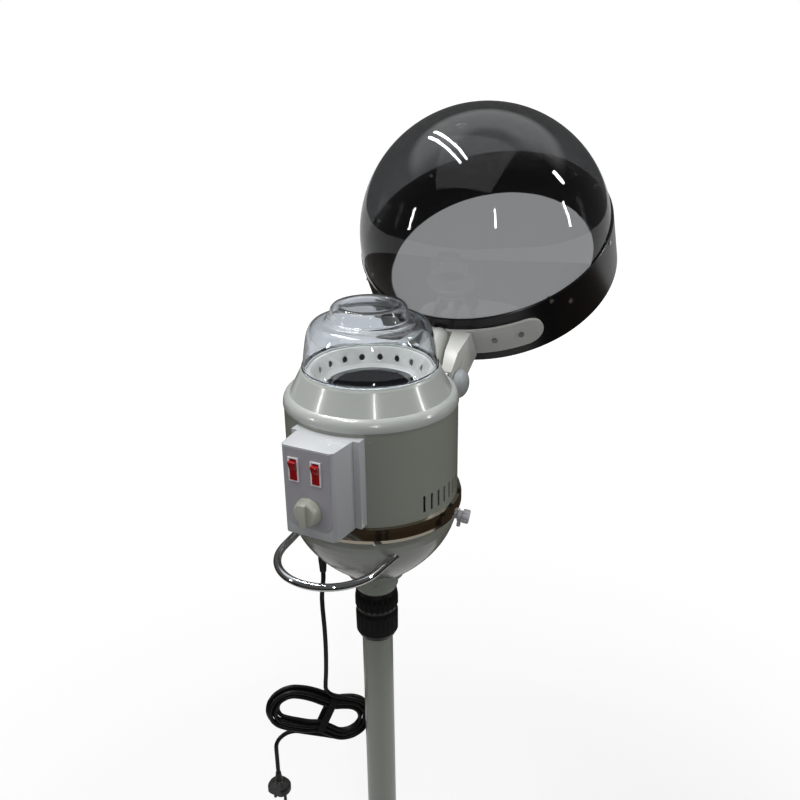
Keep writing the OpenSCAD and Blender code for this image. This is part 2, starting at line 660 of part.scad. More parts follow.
shaft_r = 3;
module timer_body() {
    behind = -panel_face + panel_t;
    color("#8f9296") {
        translate([timer_x - 17, behind, timer_z - 16]) cube([34, 22, 32]);
        translate([timer_x, -panel_face - 0.2, timer_z]) rotate([-90, 0, 0]) cylinder(r = 5, h = panel_t + 1);
        translate([timer_x, -panel_face - timer_h + 6, timer_z]) rotate([-90, 0, 0]) cylinder(r = shaft_r, h = timer_h);
    }
}
module timer_knob() {
    r = timer_d / 2;
    side = [[0, 0], [r, 0], [r, 2.5], [r - 1.6, 4.5], [r - 2.6, timer_h - 6.5], [r - 4.5, timer_h - 5], [0, timer_h - 5]];
    color("#dcdbd4") translate([timer_x, -panel_face - 0.5, timer_z]) rotate([90, 0, 0]) difference() {
        union() {
            turned(side);
            intersection() {
                translate([-4, -r + 2, timer_h - 7]) cube([8, 2 * r - 4, 7]);
                cylinder(r = r - 3, h = timer_h);
            }
        }
        translate([0, 0, -1]) cylinder(r = shaft_r + run_gap, h = timer_h - 5);
    }
}

// Towel rail and drain

module towel_rail() {
    end_l = rail_arm_len + 12;
    color("#c8cbce") {
        translate([0, rail_bend_y, rail_z]) rotate([0, 0, 180 + rail_splay]) rotate_extrude(angle = 180 - 2 * rail_splay)
            translate([rail_bend, 0]) circle(r = rail_d / 2 - 0.02, $fn = 48);
        rail_arms(rail_d / 2, end_l);
        rail_arms(rail_d / 2 + 2.5, end_l + 3, end_l);
    }
}

// The drain's outer part points a little down from the bowl's wall
drain_tilt = 10;
module drain_outer() {
    rotate([0, 0, drain_az]) translate([bowl_r, 0, drain_z]) rotate([0, 90 + drain_tilt, 0]) children();
}
module drain_valve() {
    color("#d6d4ce") difference() {
        union() {
            drain_line(hose_r - 1.1, 84, 100);
            drain_line(drain_pipe_r, 99, bowl_r + 2.5);
            drain_outer() translate([0, 0, 1.8]) cylinder(r = 8.5, h = 1.6);
            drain_outer() translate([0, 0, 1.8]) cylinder(r = 6.5, h = 6.2);
            drain_outer() translate([0, 0, 5]) cylinder(r = shaft_r, h = 10);
            drain_outer() translate([0, 0, 5.4]) rotate([0, 90, 0]) cylinder(r = 2.6, h = 17);
        }
        drain_line(2.4, 80, 112);
        drain_outer() translate([0, 0, 5.4]) rotate([0, 90, 0]) cylinder(r = 1.6, h = 18);
    }
}
module drain_knob() {
    r = drain_knob_d / 2;
    color("#dddcd6") drain_outer() difference() {
        translate([0, 0, 8.4]) turned([[0, 0], [r - 0.8, 0], [r, 1], [r, 8], [r - 1, 9.4], [0, 9.4]]);
        translate([0, 0, 7]) cylinder(r = shaft_r + run_gap, h = 9);
        for (i = [0:7]) rotate([0, 0, 45 * i]) translate([r + 1.2, 0, 6]) cylinder(r = 2, h = 14, $fn = 24);
    }
}
hose_bend = 20;
module hose_core(r, over) {
    translate([hose_reach, 0, drain_z + hose_bend]) cylinder(r = r, h = pot_bot_z - 1 - drain_z - hose_bend + over);
    translate([hose_reach + hose_bend, 0, drain_z + hose_bend]) rotate([90, 0, 0]) rotate([0, 0, 180])
        rotate_extrude(angle = 90) translate([hose_bend, 0]) circle(r = r, $fn = 32);
    translate([hose_reach + hose_bend, 0, drain_z]) rotate([0, 90, 0]) cylinder(r = r, h = 98 - hose_reach - hose_bend + over);
}
module drain_hose() {
    color("#e4dfd0") rotate([0, 0, drain_az]) difference() {
        hose_core(hose_r, 0);
        hose_core(hose_r - 1, 2);
    }
}

// Mains lead

function unit(v) = v / norm(v);
tilt_x = cos(hank_tip);
hank_x = [cos(hank_heading) * tilt_x, sin(hank_heading) * tilt_x, -sin(hank_tip)];
hank_y = [-sin(hank_heading), cos(hank_heading), 0];
hank_z = cross(hank_x, hank_y);
hank_ring_n = 24 * hank_turns;
arc_l = 180 * hank_mean * PI / 180;
run_l = [hank_run - hank_start, arc_l, 2 * hank_run, arc_l, hank_run + hank_start];
function upto(v, n) = n <= 0 ? 0 : v[n - 1] + upto(v, n - 1);
turn_l = upto(run_l, 5);
// Which stretch of its turn ring j lies on, and how far along the turn it has come
function stretch(k, n = 0) = k < upto(turn_steps, n + 1) || n == 4 ? n : stretch(k, n + 1);
function along(k) = let(n = stretch(k)) upto(run_l, n) + run_l[n] * (k - upto(turn_steps, n)) / turn_steps[n];
function smooth(t) = let(u = min(max(t, 0), 1)) u * u * (3 - 2 * u);
function waist(x, turn) = turn < 0.3 || turn > hank_turns - 0.3 || abs(x - waist_x) > waist_half ? 0
    : waist_in * pow(cos(90 * (x - waist_x) / waist_half), 2);
function hank_point(j) = let(k = j % 24, s = along(k), n = stretch(k), turn = floor(j / 24) + s / turn_l,
    w = hank_in + hank_step * abs(turn - hank_back),
    y = hank_layer * (smooth((turn - climb_from) / (climb_to - climb_from)) - 0.5),
    a = n == 1 ? 180 * (s - run_l[0]) / arc_l : 180 * (s - upto(run_l, 3)) / arc_l + 180,
    x = n == 0 ? hank_start + s : n == 2 ? hank_run - (s - upto(run_l, 2)) : -hank_run + (s - upto(run_l, 4)),
    side = n == 2 ? -1 : 1)
    n == 1 ? [hank_run + w * sin(a), y, w * cos(a)] : n == 3 ? [-hank_run + w * sin(a), y, w * cos(a)]
    : [x, y, side * (w - waist(x, turn))];
hank_first = hank_point(0);
hank_last = hank_point(hank_ring_n);
hank_local = concat([hank_first - [cord_d, 0, 0]], [for (j = [0:hank_ring_n]) hank_point(j)],
    [hank_last - [cord_d, 0, 0]]);
seam_at = [0, 0, seam_z];
hank_pts = [for (p = hank_local) seam_at + hank_c + p[0] * hank_x + p[1] * hank_y + p[2] * hank_z];
lead_pts = concat([[gland_x, gland_y, seam_z + gland_end + gland_up - 5]], [for (p = lead_route) seam_at + p],
    [hank_pts[0]]);
tail_pts = concat([hank_pts[len(hank_pts) - 1]], [for (p = tail_route) seam_at + p]);
plug_top = tail_pts[len(tail_pts) - 1];

// The hank's least gap to itself: from each ring's centre to every stretch that is not its neighbour
function to_stretch(p, a, b) = let(d = b - a, t = min(max(((p - a) * d) / (d * d), 0), 1)) norm(p - a - t * d);
hank_gap = min([for (i = [0:len(hank_local) - 1], j = [0:len(hank_local) - 2]) if (abs(i - j) > 6)
    to_stretch(hank_local[i], hank_local[j], hank_local[j + 1])]) - cord_d;
echo("least gap of the hank to itself, mm", hank_gap);
function path_length(p) = len(p) < 2 ? 0 : [for (i = 1, l = norm(p[1] - p[0]); i < len(p); i = i + 1,
    l = l + (i < len(p) ? norm(p[i] - p[i - 1]) : 0)) l][len(p) - 2];
echo("length of the mains lead, mm", path_length(lead_pts) + path_length(hank_pts) + path_length(tail_pts));

// One tube along a path, its rings square to it, closed by flat ends square to the two given directions
module tube(path, first, last, n) {
    m = len(path) - 1;
    rings = [for (i = [0:m]) let(t = i == 0 ? first : i == m ? last : unit(path[i + 1] - path[i - 1]),
        u = unit(hank_y - (hank_y * t) * t), v = cross(t, u))
        for (k = [0:n - 1]) path[i] + cord_d / 2 * (cos(360 * k / n) * u + sin(360 * k / n) * v)];
    sides = [for (i = [0:m - 1], k = [0:n - 1]) let(a = i * n + k, b = i * n + (k + 1) % n)
        each [[a, a + n, b + n], [a, b + n, b]]];
    ends = [for (k = [1:n - 2]) each [[0, k, k + 1], [m * n, m * n + k + 1, m * n + k]]];
    polyhedron(points = rings, faces = concat(sides, ends), convexity = 10);
}

module cord_gland() {
    r = cord_d / 2 + seat_gap;
    side = [[r, 0], [r + 1.2, 0], [r + 2.6, 20], [gland_r, gland_up], [r + 5, gland_up], [r + 5, gland_up + 5], [r, gland_up + 5]];
    color("#141415") translate([gland_x, gland_y, seam_z + gland_end]) turned(side);
}
module cord_lead() { color("#151516") tube(lead_pts, [0, 0, -1], hank_x, 8); }
module cord_hank() { color("#151516") tube(hank_pts, hank_x, -hank_x, 6); }
module cord_tail() { color("#151516") tube(tail_pts, -hank_x, [0, 0, -1], 8); }
module cord_plug() {
    body = [[0, 0], [6.5, 0], [9, 3], [16, 8], [18, 12], [18, 20], [15, 22], [0, 22]];
    color("#1a1a1c") translate(plug_top) mirror([0, 0, 1]) {
        turned([[0, 0], [cord_d / 2 + 1, 0], [cord_d / 2 + 2.6, 15], [cord_d / 2 + 3, 18], [0, 18]]);
        intersection() {
            translate([0, 0, 14]) turned(body);
            translate([-20, -13, 14]) cube([40, 26, 22]);
        }
        for (x = [-9.5, 9.5]) translate([x, 0, 35]) cylinder(r = 2.4, h = plug_l - 35, $fn = 24);
    }
}

// Arm and hood

bracket_w = arm_w / 2 - cheek_t - 0.5;
bolt_r = 4;
module arm_bracket() {
    // The lobes' top falls towards the drum, under the arm's web as the hood tilts up
    lobe = arc_pts([pivot_y, pivot_z], lobe_r - 2, 120 + tilt_up, -100, 24);
    side = concat([[drum_r - 20, seam_z - 74], [drum_r - 20, pivot_z + 6]], lobe, [[drum_r + 6, seam_z - 74]]);
    color("#d0d2cd") difference() {
        union() {
            both_sides() side_profile(side, bracket_w - 5.5, bracket_w);
            intersection() {
                translate([-bracket_w, 0, seam_z - 74]) cube([2 * bracket_w, drum_r + 20, 65]);
                translate([0, 0, seam_z - 74]) cylinder(r = drum_r + 5, h = 65, $fn = 128);
            }
        }
        translate([0, 0, seam_z - 80]) cylinder(r = drum_r + seat_gap, h = 80, $fn = 128);
        translate([-arm_w, pivot_y, pivot_z]) rotate([0, 90, 0]) cylinder(r = bolt_r + seat_gap, h = 2 * arm_w);
        translate([0, drum_r - 20, pivot_z]) rotate([-90, 0, 0]) cylinder(r = spout_r + seat_gap, h = 60);
        bracket_holes(2.3, 20);
    }
}
module bracket_screws() {
    color("#5a5d60") for (x = [-28, 28], z = [-20, -62]) translate([x, 0, seam_z + z]) rotate([-90, 0, 0]) {
        translate([0, 0, drum_r - 16]) cylinder(r = 2.1, h = 24);
        translate([0, 0, drum_r + 5]) cylinder(r = 4.5, h = 3);
        translate([0, 0, drum_r - 13]) cylinder(r = 5, h = 4, $fn = 6);
    }
}
module pivot_bolt() {
    reach = arm_w / 2;
    color("#6b6e71") translate([0, pivot_y, pivot_z]) rotate([0, 90, 0]) {
        translate([0, 0, -reach - 1]) cylinder(r = bolt_r, h = 2 * reach + 11);
        translate([0, 0, -reach - 6.5]) cylinder(r = 9, h = 6, $fn = 6);
    }
}
module tilt_knob() {
    r = lobe_r;
    side = concat([[0, 0], [r - 2, 0], [r, 2]], bezier([r, 5], [r - 0.5, 10.5], [r - 9, 16.8], [0, 17], 9));
    color("#e3e4e0") translate([arm_w / 2 + run_gap, pivot_y, pivot_z]) rotate([0, 90, 0]) difference() {
        turned(side);
        translate([0, 0, -1]) cylinder(r = bolt_r + run_gap, h = 12.5);
    }
}

module steam_spout() {
    ball_in = ball_r - 2.5;
    bore_r = bolt_r + seat_gap;
    far = acos(bore_r / ball_r);
    near = acos(bore_r / ball_in);
    color("#dfe0dc") translate([0, pivot_y, pivot_z]) difference() {
        union() {
            rotate([0, 90, 0]) turned(concat(arc_pts([0, 0], ball_r, -far, far, 18), arc_pts([0, 0], ball_in, near, -near, 18)));
            rotate([90, 0, 0]) translate([0, 0, ball_r - 6]) cylinder(r = spout_r, h = pivot_y - drum_r + 14 - ball_r);
        }
        rotate([90, 0, 0]) cylinder(r = spout_r - 2, h = pivot_y);
        rotate([43, 0, 0]) rotate([-90, 0, 0]) cylinder(r = 9.5, h = 30);
    }
}

// The steam duct leaves the ball for the elbow, which stands off the band at a named height
function hood_to_world(p) = [p[0], hood_y + p[1] * cos(hood_tilt) - p[2] * sin(hood_tilt),
    hood_z + p[1] * sin(hood_tilt) + p[2] * cos(hood_tilt)];
elbow_out = band_r + wing_t + 7;
elbow_at = hood_to_world([0, -elbow_out, -duct_drop]);
duct_dy = elbow_at[1] - pivot_y;
duct_dz = elbow_at[2] - pivot_z;
duct_l = norm([duct_dy, duct_dz]);
duct_rise = atan2(duct_dz, duct_dy);
duct_foot_r = 20.5;
duct_top_r = 16.5;
web_low = arm_w / 2 - 11;
web_top = duct_top_r + 4;
module along_duct() { translate([0, pivot_y, pivot_z]) rotate([duct_rise - 90, 0, 0]) children(); }
module duct_outside(grow) {
    along_duct() {
        intersection() {
            sphere(r = ball_r + cup_wall + run_gap + grow);
            cylinder(r = 40, h = 40);
        }
        translate([0, 0, 8]) cylinder(r1 = duct_foot_r + grow, r2 = duct_top_r + grow, h = duct_l - 8);
        translate([0, 0, duct_l]) sphere(r = duct_top_r + grow);
    }
}
module elbow_tube(r, l) {
    in_hood() translate([0, -elbow_out, -duct_drop]) rotate([-90, 0, 0]) cylinder(r = r, h = l);
}
module steam_duct() {
    color("#e8e9e6") difference() {
        union() {
            difference() {
                duct_outside(0);
                in_hood() translate([0, 0, -hood_band_h]) cylinder(r = wing_r + seat_gap, h = 2 * hood_band_h, $fn = 128);
            }
            elbow_tube(spout_r, 26);
        }
        along_duct() {
            sphere(r = ball_r + run_gap);
            cylinder(r = 10, h = duct_l);
            translate([0, 0, duct_l]) sphere(r = 10);
        }
        elbow_tube(spout_r - 2, 30);
        translate([-40, pivot_y, pivot_z]) rotate([0, 90, 0]) cylinder(r = bolt_r + 2, h = 80);
        // A notch for the spout's tube, which the cup comes down to as the hood tilts up
        translate([0, pivot_y, pivot_z]) rotate([-tilt_up, 0, 0]) translate([-spout_r - run_gap, -40, -40])
            cube([2 * (spout_r + run_gap), 40, 40 + spout_r + run_gap]);
    }
}

wing_end = wing_sweep - asin(wing_h / 2 / wing_r);
module wings() {
    far = 2 * wing_r;
    in_hood() intersection() {
        translate([0, 0, -hood_band_h]) cylinder(r = wing_r, h = hood_band_h, $fn = 128);
        union() {
            translate([0, 0, -wing_drop - wing_h]) linear_extrude(wing_h) polygon([[0, 0],
                [-far * sin(wing_end), -far * cos(wing_end)], [0, -far], [far * sin(wing_end), -far * cos(wing_end)]]);
            // The ends are a little thinner than the wing, so that the two rounds don't only touch
            for (s = [-1, 1]) hood_rod(s * wing_end, wing_mid, band_r - 30, wing_r + 5, wing_h / 2 - 0.4);
        }
    }
}
// The arm's outline in Y and Z, its tips named by where they meet the band
arm_top = hood_to_world([0, -band_r - 1, -wing_drop]);
arm_low = hood_to_world([0, -band_r - 1, -wing_drop - wing_h]);
arm_front = [[pivot_y - 19.5, pivot_z + 22.7], [pivot_y + 4, pivot_z + 44.7], [arm_top[1], arm_top[2]]];
wing_screw_az = [22.5, 33.6];
module wing_screw_holes(r) {
    for (a = wing_screw_az, s = [-1, 1]) hood_rod(s * a, wing_mid, band_r - 20, wing_r + 10, r);
}
module hood_arm() {
    cheek = concat(arm_front, [[arm_low[1], arm_low[2]], [arm_low[1] - 12, arm_low[2] - 6]],
        arc_pts([pivot_y, pivot_z], lobe_r, -50, -215, 24));
    web = concat(arm_front, backwards(moved(arm_front, -cheek_t)));
    // The web's window over the duct, narrower towards the hood
    window = [[-web_low, pivot_y - 2 * lobe_r], [web_low, pivot_y - 2 * lobe_r], [web_top, arm_top[1]],
        [web_top, hood_y], [-web_top, hood_y], [-web_top, arm_top[1]]];
    color("#d9dad5") difference() {
        union() {
            both_sides() side_profile(cheek, arm_w / 2 - cheek_t, arm_w / 2);
            difference() {
                side_profile(web, -arm_w / 2 + 1, arm_w / 2 - 1);
                translate([0, 0, pivot_z]) linear_extrude(4 * lobe_r) polygon(window);
            }
            wings();
        }
        in_hood() translate([0, 0, -2 * hood_band_h]) cylinder(r = band_r + 0.15, h = 3 * hood_band_h, $fn = 128);
        duct_outside(0.3);
        elbow_tube(spout_r + seat_gap, 30);
        translate([-arm_w, pivot_y, pivot_z]) rotate([0, 90, 0]) cylinder(r = bolt_r + run_gap, h = 2 * arm_w);
        in_hood() wing_screw_holes(2.5);
    }
}
module wing_screws() {
    color("#b9bbb8") in_hood() for (a = wing_screw_az, s = [-1, 1]) {
        hood_rod(s * a, wing_mid, band_r - 10, wing_r + 2, 2.4);
        hood_rod(s * a, wing_mid, wing_r, wing_r + 2, 4.2);
        hood_rod(s * a, wing_mid, band_r - band_wall - 4.5, band_r - band_wall - 0.1, 4.8);
    }
}

band_screw_at = [[49, -7], [58, -29], [90, -7], [131, -7]];
module band_screw_holes(r) {
    for (p = band_screw_at, s = [-1, 1]) hood_rod(s * p[0], p[1], band_r - 12, band_r + 6, r);
}
hood_in = band_r - band_wall;
module hood_band() {
    low = -hood_band_h;
    outer = [[hood_in, 0], [band_r - 1, 0], [band_r, -1], [band_r, low + 1.5], [band_r - 1, low], [band_r - 2.5, low]];
    lip = [[hood_in - 4, low + 6], [167, low + 23.5], [165, low + 24.5], [165, low + 27], [167, low + 27],
        [hood_in - 6, low + 10], [hood_in, low + 15]];
    ledge = [[hood_in, -19], [hood_in - 2.7, -16.5], [hood_in - 2.7, -14], [hood_in, -14]];
    color("#1a1b1d") in_hood() difference() {
        turned(concat(outer, lip, ledge));
        band_screw_holes(1.8);
        wing_screw_holes(2.5);
        translate([0, -band_r - 5, -duct_drop]) rotate([-90, 0, 0]) cylinder(r = spout_r + seat_gap, h = 20);
    }
}
dome_drop = 8.2;
module dome_solid(r) {
    translate([0, 0, -dome_drop]) intersection() {
        sphere(r = r, $fn = 128);
        translate([0, 0, r]) cube(2 * r + 2, center = true);
    }
    translate([0, 0, -13.9]) cylinder(r = r, h = 13.9 - dome_drop, $fn = 128);
}
module hood_dome() {
    color("#5b6068", 0.55) in_hood() difference() {
        dome_solid(dome_r);
        dome_solid(dome_r - dome_wall);
        translate([0, 0, -14]) cylinder(r = dome_r - dome_wall, h = 1, $fn = 128);
        band_screw_holes(1.8);
    }
}
module band_screws() {
    color("#c9cbc8") in_hood() for (p = band_screw_at, s = [-1, 1]) {
        hood_rod(s * p[0], p[1], band_r - 11, band_r + 1, 1.7);
        hood_rod(s * p[0], p[1], band_r + 0.1, band_r + 1.6, 3.2);
        hood_rod(s * p[0], p[1], band_r - 9, band_r - 6.3, 3);
    }
}

star_base();
outer_pole();
pole_bolt();
castor_body(0);  // castor_body_1
castor_body(1);  // castor_body_2
castor_body(2);  // castor_body_3
castor_body(3);  // castor_body_4
castor_body(4);  // castor_body_5
castor_wheels(0);  // castor_wheels_1
castor_wheels(1);  // castor_wheels_2
castor_wheels(2);  // castor_wheels_3
castor_wheels(3);  // castor_wheels_4
castor_wheels(4);  // castor_wheels_5
guide_bush();
lock_collar();
inner_tube();
neck_socket();
neck_screws();
bottom_bowl();
steel_band();
chassis_plate();
drum_shell();
top_cover();
cover_seal();
clear_cover();
inner_funnel();
water_pot();
pot_bracket();
heater_element();
thermal_cutout();
fan_motor();
fan_wheel();
terminal_block();
control_housing();
control_panel();
switch_frames();
left_rocker();
right_rocker();
timer_body();
timer_knob();
drain_valve();
drain_knob();
drain_hose();
towel_rail();
cord_gland();
cord_lead();
cord_hank();
cord_tail();
cord_plug();
arm_bracket();
bracket_screws();
pivot_bolt();
tilt_knob();
hood_arm();
wing_screws();
hood_band();
hood_dome();
band_screws();
steam_spout();
steam_duct();
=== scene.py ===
import json
import math

import bpy
from mathutils import Matrix, Vector

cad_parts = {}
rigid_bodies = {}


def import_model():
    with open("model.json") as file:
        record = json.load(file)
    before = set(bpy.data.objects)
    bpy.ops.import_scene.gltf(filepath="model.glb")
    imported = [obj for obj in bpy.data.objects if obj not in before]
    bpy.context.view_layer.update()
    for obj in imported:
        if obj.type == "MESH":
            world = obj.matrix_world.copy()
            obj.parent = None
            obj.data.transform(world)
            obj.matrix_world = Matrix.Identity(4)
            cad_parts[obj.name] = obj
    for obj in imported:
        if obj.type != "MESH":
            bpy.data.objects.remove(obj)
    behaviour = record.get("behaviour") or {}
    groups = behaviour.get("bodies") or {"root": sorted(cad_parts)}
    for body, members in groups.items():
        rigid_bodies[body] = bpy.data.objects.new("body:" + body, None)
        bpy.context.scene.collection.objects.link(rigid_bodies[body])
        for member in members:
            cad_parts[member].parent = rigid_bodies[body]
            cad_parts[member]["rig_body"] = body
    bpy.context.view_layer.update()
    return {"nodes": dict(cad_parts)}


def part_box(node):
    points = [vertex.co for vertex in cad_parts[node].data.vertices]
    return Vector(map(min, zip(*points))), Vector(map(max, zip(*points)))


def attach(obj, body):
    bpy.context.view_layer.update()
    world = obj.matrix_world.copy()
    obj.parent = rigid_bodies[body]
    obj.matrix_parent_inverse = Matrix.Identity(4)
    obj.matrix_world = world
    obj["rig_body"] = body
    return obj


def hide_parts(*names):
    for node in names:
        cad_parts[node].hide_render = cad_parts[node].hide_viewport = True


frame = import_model()
nodes = frame["nodes"]
scene = bpy.context.scene

# Camera. It stands a little above the hood, in front and to the right of the steamer, and looks
# down at it, rolled by under a degree as the photograph is.
CAMERA_AT = (0.5256, -0.9374, 1.6354)
TURN, DROP, ROLL = math.radians(27.3), math.radians(22.7), math.radians(-0.8)


def stood(place, x, y, z):
    """How a camera or a lamp stands, from its place and its three axes."""
    return Matrix.Translation(place) @ Matrix((x, y, z)).transposed().to_4x4()


scene.view_settings.view_transform = "Standard"
back = Vector((math.sin(TURN) * math.cos(DROP), -math.cos(TURN) * math.cos(DROP), math.sin(DROP)))
level = Vector((math.cos(TURN), math.sin(TURN), 0))
upright = back.cross(level)
right = level * math.cos(ROLL) + upright * math.sin(ROLL)
up = upright * math.cos(ROLL) - level * math.sin(ROLL)
lens = bpy.data.cameras.new("camera")
lens.sensor_width, lens.lens = 36, 40.5
lens.clip_start, lens.clip_end = 0.05, 50
camera = bpy.data.objects.new("camera", lens)
scene.collection.objects.link(camera)
camera.matrix_world = stood(CAMERA_AT, right, up, back)
scene.camera = camera

# Mains lead. A round black rubber cable leaves the bowl through a strain relief, hangs down in
# front of the pole, is wound lengthwise into a hank with a waist, and ends hanging in its plug.
# Its places are measured from the middle of the seam between the drum and the top cover.
SEAM = Vector((0, 0, 1.190))
CORD_D = 0.0065
GLAND = Vector((-0.062, -0.040, -0.258))
EXIT_UP = Vector((0, 0, 0.048))
LEAD_ROUTE = [GLAND, (-0.0623, -0.0400, -0.2700), (-0.0645, -0.0396, -0.2850),
              (-0.0670, -0.0387, -0.3020), (-0.0680, -0.0375, -0.3200), (-0.0683, -0.0360, -0.3400),
              (-0.0685, -0.0345, -0.3600), (-0.0692, -0.0330, -0.3800), (-0.0706, -0.0310, -0.4020),
              (-0.0726, -0.0290, -0.4250), (-0.0752, -0.0270, -0.4500), (-0.0779, -0.0256, -0.4720),
              (-0.0783, -0.0251, -0.4800), (-0.0774, -0.0237, -0.4855), (-0.0754, -0.0216, -0.4905),
              (-0.0723, -0.0188, -0.4946)]
TAIL_ROUTE = [(-0.1208, -0.0529, -0.5573), (-0.1258, -0.0575, -0.5570), (-0.1308, -0.0619, -0.5584),
              (-0.1352, -0.0659, -0.5616), (-0.1390, -0.0693, -0.5662), (-0.1417, -0.0717, -0.5719),
              (-0.1432, -0.0731, -0.5784), (-0.1435, -0.0734, -0.5840), (-0.1435, -0.0734, -0.6000),
              (-0.1435, -0.0734, -0.6160), (-0.1435, -0.0734, -0.6320)]

# The hank is wound inwards to its inmost turn, climbs by a layer there, and is wound out again. A
# turn has five parts, each with its rings and where it runs from and to: two ends and three runs.
HANK_AT = Vector((-0.090, -0.030, -0.528))
HANK_HEADING, HANK_TIP = math.radians(42), math.radians(25)
HANK_TURNS, INMOST_TURN, CLIMB_TURNS = 5.5, 2.5, (2.34, 2.6)
HALF_RUN, WOUND_FROM, END_R = 0.045, 0.017, 0.030
INNER, PITCH, LAYER = 0.0195, 0.0075, 0.0072
WAIST_X, WAIST_IN, WAIST_HALF, FREE_TURNS = 0.012, 0.006, 0.032, 0.3
STRAIGHT = Vector((0.0065, 0, 0))
TURN_PARTS = [(2, WOUND_FROM, HALF_RUN), (7, HALF_RUN, HALF_RUN), (5, HALF_RUN, -HALF_RUN),
              (7, -HALF_RUN, -HALF_RUN), (3, -HALF_RUN, WOUND_FROM)]
RINGS_PER_TURN = sum(rings for rings, start, end in TURN_PARTS)

ahead = Vector((math.cos(HANK_HEADING), math.sin(HANK_HEADING), 0))
hank_x = ahead * math.cos(HANK_TIP) - Vector((0, 0, math.sin(HANK_TIP)))
hank_y = Vector((-math.sin(HANK_HEADING), math.cos(HANK_HEADING), 0))
hank_axes = Matrix((hank_x, hank_y, hank_x.cross(hank_y))).transposed()
part_lengths = [abs(end - start) or math.pi * END_R for rings, start, end in TURN_PARTS]


def hank_point(ring):
    """A ring of the winding in the hank's own frame: x along it, y through it and z across it."""
    turn, step = divmod(ring, RINGS_PER_TURN)
    part = 0
    while step >= TURN_PARTS[part][0]:
        step -= TURN_PARTS[part][0]
        part += 1
    rings, start, end = TURN_PARTS[part]
    share = step / rings
    turns = turn + (sum(part_lengths[:part]) + part_lengths[part] * share) / sum(part_lengths)
    out = INNER + PITCH * abs(turns - INMOST_TURN)
    climb = (turns - CLIMB_TURNS[0]) / (CLIMB_TURNS[1] - CLIMB_TURNS[0])
    climb = min(max(climb, 0), 1)
    through = LAYER * (climb * climb * (3 - 2 * climb) - 0.5)
    if start == end:
        angle = math.pi * (share + (start < 0))
        return Vector((start + out * math.sin(angle), through, out * math.cos(angle)))
    along = start + (end - start) * share
    from_waist = (along - WAIST_X) / WAIST_HALF
    if abs(from_waist) <= 1 and FREE_TURNS <= turns <= HANK_TURNS - FREE_TURNS:
        out -= WAIST_IN * math.cos(math.pi / 2 * from_waist) ** 2
    return Vector((along, through, out if end > start else -out))


def in_hank(point):
    """A point of the hank's frame, where it is in the room."""
    return SEAM + HANK_AT + hank_axes @ Vector(point)


wound = [hank_point(ring) for ring in range(int(RINGS_PER_TURN * HANK_TURNS) + 1)]
wound = [wound[0] - STRAIGHT] + wound + [wound[-1] - STRAIGHT]
cord_start = SEAM + GLAND + EXIT_UP
route = ([cord_start] + [SEAM + Vector(point) for point in LEAD_ROUTE]
         + [in_hank(point) for point in wound] + [SEAM + Vector(point) for point in TAIL_ROUTE])
cord_length = sum((there - here).length for here, there in zip(route, route[1:]))

cord_curve = bpy.data.curves.new("mains_lead", "CURVE")
cord_curve.dimensions = "3D"
cord_curve.bevel_depth, cord_curve.bevel_resolution, cord_curve.resolution_u = CORD_D / 2, 3, 5
cord_curve.use_fill_caps = True
strand = cord_curve.splines.new("BEZIER")
strand.bezier_points.add(len(route) - 1)
for knot, place in zip(strand.bezier_points, route):
    knot.co, knot.handle_left_type, knot.handle_right_type = place, "AUTO", "AUTO"
mains_lead = bpy.data.objects.new("mains_lead", cord_curve)
scene.collection.objects.link(mains_lead)


class Value:
    """A number that changes over a surface. Python's operators on it add the Math nodes."""

    def __init__(self, tree, socket):
        self.tree, self.socket = tree, socket

    def math(self, operation, first, second):
        """A Math node on two values or numbers."""
        node = self.tree.nodes.new("ShaderNodeMath")
        node.operation = operation
        for entry, term in zip(node.inputs, (first, second)):
            if isinstance(term, Value):
                self.tree.links.new(term.socket, entry)
            else:
                entry.default_value = term
        return Value(self.tree, node.outputs[0])

    def __add__(self, other):
        return self.math("ADD", self, other)

    def __sub__(self, other):
        return self.math("SUBTRACT", self, other)

    def __rsub__(self, other):
        return self.math("SUBTRACT", other, self)

    def __mul__(self, other):
        return self.math("MULTIPLY", self, other)

    def __lt__(self, other):
        return self.math("LESS_THAN", self, other)

    def __or__(self, other):
        """The greater of the two."""
        return self.math("MAXIMUM", self, other)

    __radd__, __rmul__ = __add__, __mul__


def paint(red, green, blue):
    """A colour as it is seen, 0 to 255, turned into the linear one that a shader takes."""
    return (*(c / 12.92 if c <= 0.04045 else ((c + 0.055) / 1.055) ** 2.4
              for c in (red / 255, green / 255, blue / 255)), 1.0)


def toned(colour, factor):
    """The colour made darker or paler by a factor."""
    return (*(min(1.0, c * factor) for c in colour[:3]), 1.0)


